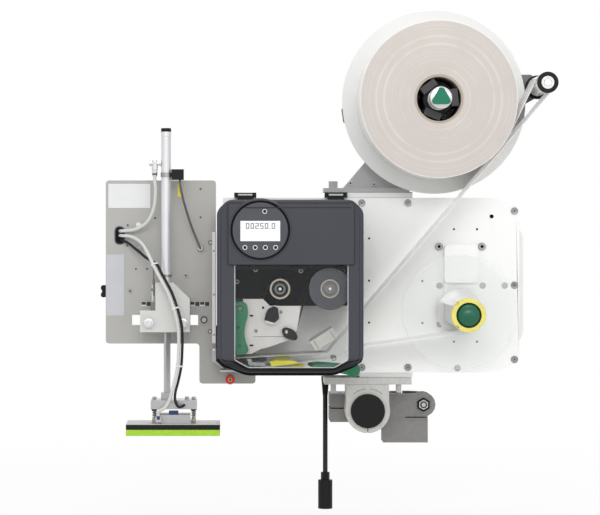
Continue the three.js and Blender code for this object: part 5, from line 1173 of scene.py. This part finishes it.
DIGITS = "00250.0"
BARS = {"0": "abcdef", "2": "abged", "5": "afgcd"}
DIGIT_WIDTH, DIGIT_HEIGHT = 5.6, 9.4
PEN = 1.2
DIGIT_GAP = 2.5
INK_Y, INK_DEPTH = -156.36, 0.08
bm = bmesh.new()
x, low = DIAL_X - 24.5, DIAL_Z + 2.4
half, top = low + DIGIT_HEIGHT / 2, low + DIGIT_HEIGHT
for mark in DIGITS:
    right = x + (PEN if mark == "." else DIGIT_WIDTH)
    bars = {
        "a": (x, right, top - PEN, top), "g": (x, right, half - PEN / 2, half + PEN / 2),
        "d": (x, right, low, low + PEN), "b": (right - PEN, right, half, top),
        "c": (right - PEN, right, low, half),
        "f": (x, x + PEN, half, top), "e": (x, x + PEN, low, half),
    }
    for part in BARS.get(mark, "d"):
        slab_into(bm, rectangle(*bars[part]), INK_Y - INK_DEPTH, INK_Y)
    x = right + DIGIT_GAP
put(bm, "display_digits", "ink", "dial")

# Ribbon deck with its two ribbon rolls
turned("ribbon_supply_roll", [(SUPPLY_X, 0, SUPPLY_Z)], [
    (1, [(2.7, -31), (36.5, -31), (36.5, -127.4)]),
    (0, [(36.5, -127.4), (36.0, -128), (16.3, -128)]),
    (2, [(16.3, -128), (16.2, -129.6), (15.8, -130), (14.3, -130), (13.9, -129.6), (13.8, -125)]),
    (3, [(13.8, -125), (9.5, -125), (9.2, -128.6), (8.6, -129), (2.7, -129), (2.7, -31)]),
], "ribbon_black ribbon_side core_pale alu_dark", "ribbon_supply", "ribbon_roll")
turned("ribbon_takeup_roll", [(TAKEUP_X, 0, TAKEUP_Z)], [
    (1, [(2.7, -31), (18.5, -31), (18.5, -127.6), (18.2, -128), (17.6, -128)]),
    (0, [(17.6, -128), (17.5, -129.6), (17.1, -130), (14.9, -130), (14.5, -129.6), (14.4, -125)]),
    (2, [(14.4, -125), (9.5, -125)]),
    (3, [(9.5, -125), (9.2, -128.6), (8.6, -129), (6.4, -129), (6.1, -128.4)]),
    (2, [(6.1, -128.4), (2.7, -128.4), (2.7, -31)]),
], "core_card ribbon_side black alu_dark", "ribbon_winder", "ribbon_takeup")
discs("spindle_ends", [(x, -131.9, z, 2.5, 0.9) for x, z in ((SUPPLY_X, SUPPLY_Z), (TAKEUP_X, TAKEUP_Z))],
      "white")
for name, path, y0, y1 in (("ribbon_strip_down", [(-108.4, 229.6), (-128.5, 149.8), (-131, 140)], -107, -33),
                           ("ribbon_strip_up", [(-226, 106.5), (-218, 128), (-176.6, 226)], -100, -36)):
    put(strip(path, y0, y1, 0.25), name, "ribbon_film", angle=STRIP_ANGLE)
screws("deck_screws", [(x, -30, z, 4.4, 2.2) for x, z in ((-233, 231), (-200, 252), (-120, 250), (-46, 250),
                                                         (-38, 262))], "zinc")
block("deck_rail", -246, -34, -34, -30, 252.5, 258.5, "slate_dark", rounded=0.6)

# Print head, platen, tray and levers
# The head's slots are near-black outlines: painted shade. The thin line across the head is near-black too.
bm = bmesh.new()
for pixel in SPOTS["head_slots"]:
    x, z = spot(*pixel, HEAD_FRONT)
    slab_into(bm, soft_outline(rectangle(x - 3.4, x + 3.4, z - 1.6, z + 1.6), 1.5, 4), HEAD_FRONT - 0.2,
              HEAD_FRONT)
slab_into(bm, [(-206, 137.2), (-131, 137.6), (-131, 138.2), (-206, 137.8)], HEAD_FRONT - 0.15, HEAD_FRONT)
put(bm, "head_slots", "dark_hole")

PLATEN_X, PLATEN_Z = -229, 92
lathe("platen_rubber", [(0, -128), (3.6, -128), (4, -127.6), (4, -110), (8, -110), (8.4, -109.6),
                        (8.4, -26.4),
                        (8, -26), (4, -26), (4, 18), (0, 18)],
      (PLATEN_X, 0, PLATEN_Z), "rubber", "platen", steps=48, node="platen_roller")
discs("platen_shaft_end", [(PLATEN_X, -128.02, PLATEN_Z, 2.8, 0.4)], "zinc", "platen")

LEVER_X, LEVER_Z = -227.9, 186.6
LEVER = [(-13.4, -12), (-13.6, 9), (-1, 13.2), (12.6, 8.5), (14.2, -11), (8.4, -30), (7.4, -46), (10.5, -60),
         (16, -71), (10.6, -78.6), (-7, -81.2), (-10.5, -66), (-8.2, -46), (-9.8, -30)]
LEVER_HOLES = [(0, 0, 4.4, 48, -110), (-3.5, -33, 2.4, 32, -122), (-1.5, -64.5, 2.6, 32, -122)]
lever = slab("head_lever_moulding", soft_outline([(LEVER_X + x, LEVER_Z + z) for x, z in LEVER], 7, 6), -126,
             -115,
             "green_lever", "head_lever", node="head_lever")
carve(lever, [(circle(LEVER_X + x, LEVER_Z + z, radius, steps), -130, back)
              for x, z, radius, steps, back in LEVER_HOLES], 1.4, 3)
discs("head_lever_pin", [(LEVER_X, -126.9, LEVER_Z, 3.8, 0.6)], "alu_dark")

LATCH = [(-156.6, 149), (-152, 137), (-143, 133), (-131.5, 130.5), (-127.5, 137), (-132, 147.5),
         (-142, 152.5),
         (-151, 154.3)]
slab("latch_oval", soft_outline(LATCH, 6, 6), LATCH_FRONT, -110.3, "black", "latch_lever", 1.2, "latch_lever",
     3)

FEED_END, FEED_HEAD = (-104, 88), (-30, 77)
feed_angle = math.atan2(FEED_HEAD[1] - FEED_END[1], FEED_HEAD[0] - FEED_END[0])
feed = (arc(*FEED_END, 5, feed_angle + TURN / 4, feed_angle + TURN * 3 / 4, 14)
        + arc(*FEED_HEAD, 12.5, feed_angle - TURN * 0.36, feed_angle + TURN * 0.36, 30))
slab("feed_lever_moulding", feed, -70, -61, "green_lever", "feed_lever", 1.5, "feed_lever", 3)

RED_X, RED_Z = -245, 60.5
slab("red_knob_grip", fluted(RED_X, RED_Z, 8.6, 0.9, 14, 8), -74, -56, "red", "red_knob", 0.8, "red_knob",
     3)
# The knob's centre recess is near-black: painted shade.
turned("red_knob_centre", [(RED_X, 0, RED_Z)], [
    (0, [(0, -73.9), (3.8, -73.9), (3.8, -74.5), (3.5, -74.8), (1.8, -74.8)]),
    (1, [(1.8, -74.8), (1.6, -74.2), (0, -74.2)]),
], "brass dark_hole", "red_knob", steps=40)
STAR_X, STAR_Z = -462.5, 213
star = slab("star_grip", fluted(STAR_X, STAR_Z, 15.5, 4.6, 5, 20, 0.8), 6, 24, "black", "star_knob",
            node="star_knob")
carve(star, [(circle(STAR_X, STAR_Z, 4.5, 40), 3, 15.2)], 1.4, 3)

# Side plate's white strip
block("side_strip", -275.9, -270.2, -94.7, -94.0, 126, 318.6, "white", rounded=0.3)
discs("side_strip_screws", [(-273.2, -94.7, z, 2.1, 0.5) for z in (286, 210, 140)], "zinc")

# Web guide block: its light front face, with dark seams
BLOCK_X, BLOCK_Z = -82.5, 132.5
BLOCK_ANGLE = 0.565
BLOCK_FRONT = -112
bm = bmesh.new()
for along in (-16, 17):
    slab_into(bm, turned_by(BLOCK_X, BLOCK_Z, BLOCK_ANGLE, rectangle(along - 0.4, along + 0.4, -8, 8)),
              BLOCK_FRONT - 0.2, BLOCK_FRONT)
put(bm, "guide_seams", "slate_dark")
slab("guide_front", turned_by(BLOCK_X, BLOCK_Z, BLOCK_ANGLE, rectangle(-23, 23, -9.4, 9.4)),
     BLOCK_FRONT - 0.1,
     BLOCK_FRONT, "guide_front")

# Applicator plate: marks of the scale, holes with rings, clip, grommet and gland
SCALE_CELLS = 14
left, right, top, bottom = AREAS["scale_strip"]
x0, z0 = spot(left, bottom, FACE - 0.4)
x1, z1 = spot(right, top, FACE - 0.4)
cell = (x1 - x0) / SCALE_CELLS
bm = bmesh.new()
for i in range(SCALE_CELLS):
    low = z0 + (z1 - z0) * (0.04 if i % 2 else 0.3)
    block_into(bm, x0 + cell * (i + 0.04), x0 + cell * (i + 0.93), FACE - 0.5, FACE - 0.4, low,
               z1 - (z1 - z0) * 0.03)
put(bm, "scale_marks", "scale_black")
bm = bmesh.new()
for name, ring_radius, ring_height, rim, foot, floor_depth, steps in (
        ("ringed_holes_small", 4.0, 0.6, 1.4, 1.7, 0.2, 28),
        ("ringed_hole_large", 6.4, 1.2, 2.2, 2.6, 0.3, 32)):
    for x, y, z, radius, height in spots(name, FACE, ring_radius, ring_height):
        lathe_into(bm, [(0, y + SEAT), (radius, y + SEAT), (radius, y - height), (radius - rim, y - height)],
                   (x, 0, z), steps=steps)
        lathe_into(bm, [(radius - rim, y - height), (radius - foot, y - floor_depth), (0, y - floor_depth)],
                   (x, 0, z), steps=steps, index=1)
put(bm, "plate_ringed_holes", "screw_edge grey_paint", weld=True)
clip_x, clip_z = spot(*SPOTS["cable_clip_white"][0], FACE)
lathe("cable_clip_white", [(0, FACE + SEAT), (5.4, FACE + SEAT), (5.4, FACE - 3), (4.6, FACE - 4.4),
                           (2.4, FACE - 5),
                           (0, FACE - 5)], (clip_x, 0, clip_z), "white", steps=32)
GROMMET = (-449.7, -432.9, 297.0, 328.2)
GROMMET_CORNER = 9.5


def grommet_outline(grow):
    x0, x1, z0, z1 = GROMMET
    return soft_outline(rectangle(x0 - grow, x1 + grow, z0 - grow, z1 + grow), GROMMET_CORNER + grow, 8)


grommet = slab("grommet_edging", grommet_outline(0.7), -9.4, -8.35, "navy")
carve(grommet, [(grommet_outline(-2.0), -12, -5)], 0.4)
# A near-black sheet behind the grommet's opening: painted shade.
slab("grommet_opening_shade", grommet_outline(-0.3), -7.6, -7.2, "dark_hole")
lathe("gland_nut", [(2.2, -9), (5.8, -9), (5.8, -14.5), (4.8, -16.2), (2.2, -16.4), (2.2, -9)],
      (-298, 0, 290),
      "knob_metal", steps=24)

# Cylinder with its cap, fitting and tag
CYLINDER = (-357.5, -54, 0)
ELBOW = (-377.4, -54, 0)
turned("barrel_skin", [CYLINDER], [
    (0, [(7.4, 230.3), (9, 230.3), (9, 246), (8.6, 246.6), (8.6, 486), (9, 486.6), (9, 494.6)]),
    (1, [(9, 494.6), (9, 500), (8, 501), (0, 501)]),
    (0, [(0, 493), (7.4, 493), (7.4, 230.3)]),
], "barrel_steel black", node="cylinder_barrel", along="z", steps=64)
bm = bmesh.new()
lathe_into(bm, [(0, -366.3), (4.6, -366.3), (5, -366.9), (5, -368.5), (4, -369), (4, -383.4), (4.9, -384),
                (4.9, -386.6), (4.2, -387.4), (0, -387.4)], (0, -54, 439.4), "x", 32)
# The fitting's neck takes dark grey: painted shade.
for index, profile in ((0, [(0, 444.4), (4.9, 444.4), (5.6, 443.4), (5.6, 428.6), (4.9, 427.8),
                            (4.9, 421.6)]),
                       (1, [(4.9, 421.6), (4.6, 420.6), (4.6, 418.6)]),
                       (0, [(4.6, 418.6), (4.2, 416.2), (0, 416.2)])):
    lathe_into(bm, profile, ELBOW, "z", 32, index)
put(bm, "elbow_fitting", "knob_metal screw_edge", weld=True)
turned("barrel_bands", [CYLINDER], [
    (0, [(9.05, 415), (9.7, 415), (9.7, 423), (9.05, 423), (9.05, 415)]),
    (0, [(9.05, 240), (10, 240), (10, 244), (9.05, 244), (9.05, 240)]),
], "zinc", along="z", steps=64)
block("sensor_tag", -337.2, -330.8, -44, -43.2, 381, 404, "yellow_tag", rounded=0.2)

# Guide block's bolts and stop screw
BOLTS = ((-387.5, 159.3), (-327.5, 159.3))
# The ring round each bolt's head takes dark grey: painted shade.
turned("bolt_faces", [(x, 0, z) for x, z in BOLTS], [
    (0, [(0, -77.9), (8.4, -77.9), (8.4, -78.7), (7.2, -79.2), (5.6, -79.2)]),
    (1, [(5.6, -79.2), (5.2, -78.4)]),
    (0, [(5.2, -78.4), (4.9, -79.0), (0, -79.0)]),
], "knob_metal screw_edge", steps=40)
bm = bmesh.new()
for x, z in BOLTS:
    slab_into(bm, hexagon(x, z, 6.6, 0.3), -84.4, -79.1)
put(bm, "bolt_hexagons", "knob_metal", rounded=0.7)
STOP_Y = -64
stop_x = spot(*SPOTS["stop_screw"][0], STOP_Y)[0]
bm = bmesh.new()
lathe_into(bm, [(0, 207), (1.9, 207), (1.9, 236), (1.2, 236.4), (1.2, 256), (0, 256)], (stop_x, STOP_Y, 0),
           "z", 24)
block_into(bm, stop_x - 4.4, stop_x + 4.4, -69, -59, 216, 220)
block_into(bm, stop_x - 5, stop_x + 5, -70, -58, 181.4, 196)
put(bm, "stop_screw", "alu_dark", rounded=0.5)

# Foam pad with its springs, nuts and cups
PAD = (-426.4, -262.8, -95, -13)
block("pad_black_body", *PAD, -24.8, -16.8, "black", "pad", 0.8, "pad_body", "black_plastic")
pad = block("lime_foam_pad", *PAD, -35.9, -25.1, "foam", "pad", 1.4, "pad_foam", "lime_foam", 3)
SPRINGS = {"spring_left": -378, "spring_right": -309.1}
SPRING_Y = -54
SPRING_FOOT, SPRING_TOP = -5.7, 9.2
WIRE_ROOM = 0.7
COIL_RADIUS = 3.7
COIL_CURLS, COIL_STEPS = 5, 28
for name, x in SPRINGS.items():
    low, high = SPRING_FOOT + WIRE_ROOM, SPRING_TOP - WIRE_ROOM
    points = []
    for i in range(COIL_CURLS * COIL_STEPS + 1):
        px, py = polar(x, SPRING_Y, COIL_RADIUS, TURN * i / COIL_STEPS)
        points.append((px, py, low + (high - low) * i / (COIL_CURLS * COIL_STEPS)))
    bm = bmesh.new()
    tube_into(bm, points, 0.6, 8)
    coil = put(bm, name + "_coil", "alu_dark", "carriage", name, angle=50)
    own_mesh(coil)
bm = bmesh.new()
for x in SPRINGS.values():
    block_into(bm, x - 4.2, x + 4.2, -58, -50, -13.6, -9.6)
put(bm, "spring_nuts", "brass", "pad", rounded=0.7)
turned("spring_cups", [(x, SPRING_Y, 0) for x in SPRINGS.values()], [
    (0, [(5.2, 9.6), (5.2, 8.2), (4.4, 5.4)]),
    (0, [(4.4, 5.4), (4.9, 5.4), (5.7, 8.2), (5.7, 9.6), (5.2, 9.6)]),
], "slate_dark", "carriage", along="z", steps=32)
block("pad_blue_block", -352.0, -335.6, -78.4, -59.6, -0.4, 6.0, "blue", "pad", 0.6)
lathe("pad_blue_ring", [(3.2, -2.4), (4.6, -2.4), (4.9, -2.9), (4.9, -7.4), (4.5, -7.9), (3.2, -7.9),
                        (3.2, -2.4)],
      (-370, -86, 0), "blue", "pad", "z", 32)

# Stand clamp: nut in the ear of the cross clamp, and casting lines of the ring
EAR = (104.3, 6.7)
CLAMP_FRONT = 63.6
NUT_FRONT = 60.1
# The hexagon round the nut and the ring round the bolt end are near-black: painted shade in the nut's pocket.
bm = bmesh.new()
slab_into(bm, hexagon(*EAR, 12.6, 0.5), NUT_FRONT - 0.4, CLAMP_FRONT - 0.05, 1)
slab_into(bm, hexagon(*EAR, 9.2, 0.5), NUT_FRONT - 1.6, NUT_FRONT - 0.45)
slab_into(bm, circle(*EAR, 6.2, 32), NUT_FRONT - 1.8, NUT_FRONT - 1.65, 1)
slab_into(bm, circle(*EAR, 4.0, 32), NUT_FRONT - 3.2, NUT_FRONT - 1.85)
put(bm, "ear_nut_faces", "alu dark_hole")
bm = bmesh.new()
for degrees in ((50, 85), (95, 130)):
    low, high = (math.radians(part) for part in degrees)
    slab_into(bm, arc(0, 0, 39.9, low, high, 20) + arc(0, 0, 39.1, high, low, 20), -0.12, -0.02)
put(bm, "ring_casting_lines", "screw_edge")
turned("housing_screws", [(x, 0, z) for x in (-206, -40, 126) for z in (66, 374)],
       [(0, [(0, 170.9), (4, 170.9), (4, 172.2), (3.2, 172.8), (0, 172.8)])], "zinc", steps=28)


# Floor and backdrop
def seen_directly(tree):
    """1 for what the camera, a reflection or a clear sheet shows, and 0 for light that falls on things."""
    path = tree.nodes.new("ShaderNodeLightPath")
    either = path.outputs["Is Camera Ray"]
    for kind in ("Is Glossy Ray", "Is Transmission Ray"):
        both = tree.nodes.new("ShaderNodeMath")
        both.operation = "MAXIMUM"
        tree.links.new(either, both.inputs[0])
        tree.links.new(path.outputs[kind], both.inputs[1])
        either = both.outputs[0]
    return either


FLOOR_DROP = 0.03
FLOOR_HALF = 6.0
FLOOR_SHADOW = 0.3
FLOOR_FADE = (0.5, 1.9)
FLOOR_COLOR = (0.9, 0.9, 0.9, 1)
WHITE = (1, 1, 1, 1)
WORLD_LIGHT, WORLD_SEEN = 0.68, 1.0
studio = Nodes("studio_floor")
studio.tree.nodes.remove(studio.shader)
away = studio.add("VectorMath", {0: studio.place()}, operation="LENGTH").outputs["Value"]
fade = studio.ramp(away, *FLOOR_FADE, 1 - FLOOR_SHADOW, 1)
share = studio.math("MULTIPLY", seen_directly(studio.tree), fade)
diffuse = studio.add("BsdfDiffuse", {"Color": FLOOR_COLOR}).outputs[0]
mixer = studio.add("MixShader", {0: share, 1: diffuse, 2: studio.add("Emission").outputs[0]})
studio.fill(studio.tree.nodes["Material Output"], {"Surface": mixer.outputs[0]})
ground = cad_box[0][2] - FLOOR_DROP
floor_mesh = bpy.data.meshes.new("studio_floor")
floor_mesh.from_pydata([(x, y, ground)
                        for x, y in rectangle(-FLOOR_HALF, FLOOR_HALF, -FLOOR_HALF, FLOOR_HALF)],
                       [], [(0, 1, 2, 3)])
floor = add_object("studio_floor", floor_mesh)
floor.data.materials.append(studio.material)

# World and lamps
world = bpy.data.worlds.new("studio")
bpy.context.scene.world = world
world.use_nodes = True
tree = world.node_tree
tree.nodes.clear()
chooser = tree.nodes.new("ShaderNodeMixShader")
tree.links.new(seen_directly(tree), chooser.inputs[0])
for socket, strength in ((1, WORLD_LIGHT), (2, WORLD_SEEN)):
    light = tree.nodes.new("ShaderNodeBackground")
    light.inputs["Color"].default_value = WHITE
    light.inputs["Strength"].default_value = strength
    tree.links.new(light.outputs[0], chooser.inputs[socket])
tree.links.new(chooser.outputs[0], tree.nodes.new("ShaderNodeOutputWorld").inputs["Surface"])

LAMP_TARGET = (-0.15, -0.1, 0.25)
# Each row: name, place, power, width and height
for name, place, power, width, height in (
        ("key", (-0.15, -4.9, 2.1), 66, 2.6, 1.3),
        ("left", (-2.5, -4.4, 1.7), 15, 2.4, 2.0),
        ("right", (2.5, -4.4, 1.3), 13, 2.4, 2.0),
        ("top", (-0.1, -0.2, 2.6), 16, 1.6, 1.2),
        ("rear", (0.4, 2.6, 1.6), 16, 1.6, 1.2)):
    data = bpy.data.lights.new(name, "AREA")
    data.shape = "RECTANGLE"
    data.size = width
    data.size_y = height
    data.energy = power
    lamp = add_object(name, data)
    lamp.location = place
    lamp.rotation_euler = (Vector(LAMP_TARGET) - Vector(place)).to_track_quat("-Z", "Y").to_euler()
bpy.context.scene.view_settings.view_transform = "Standard"
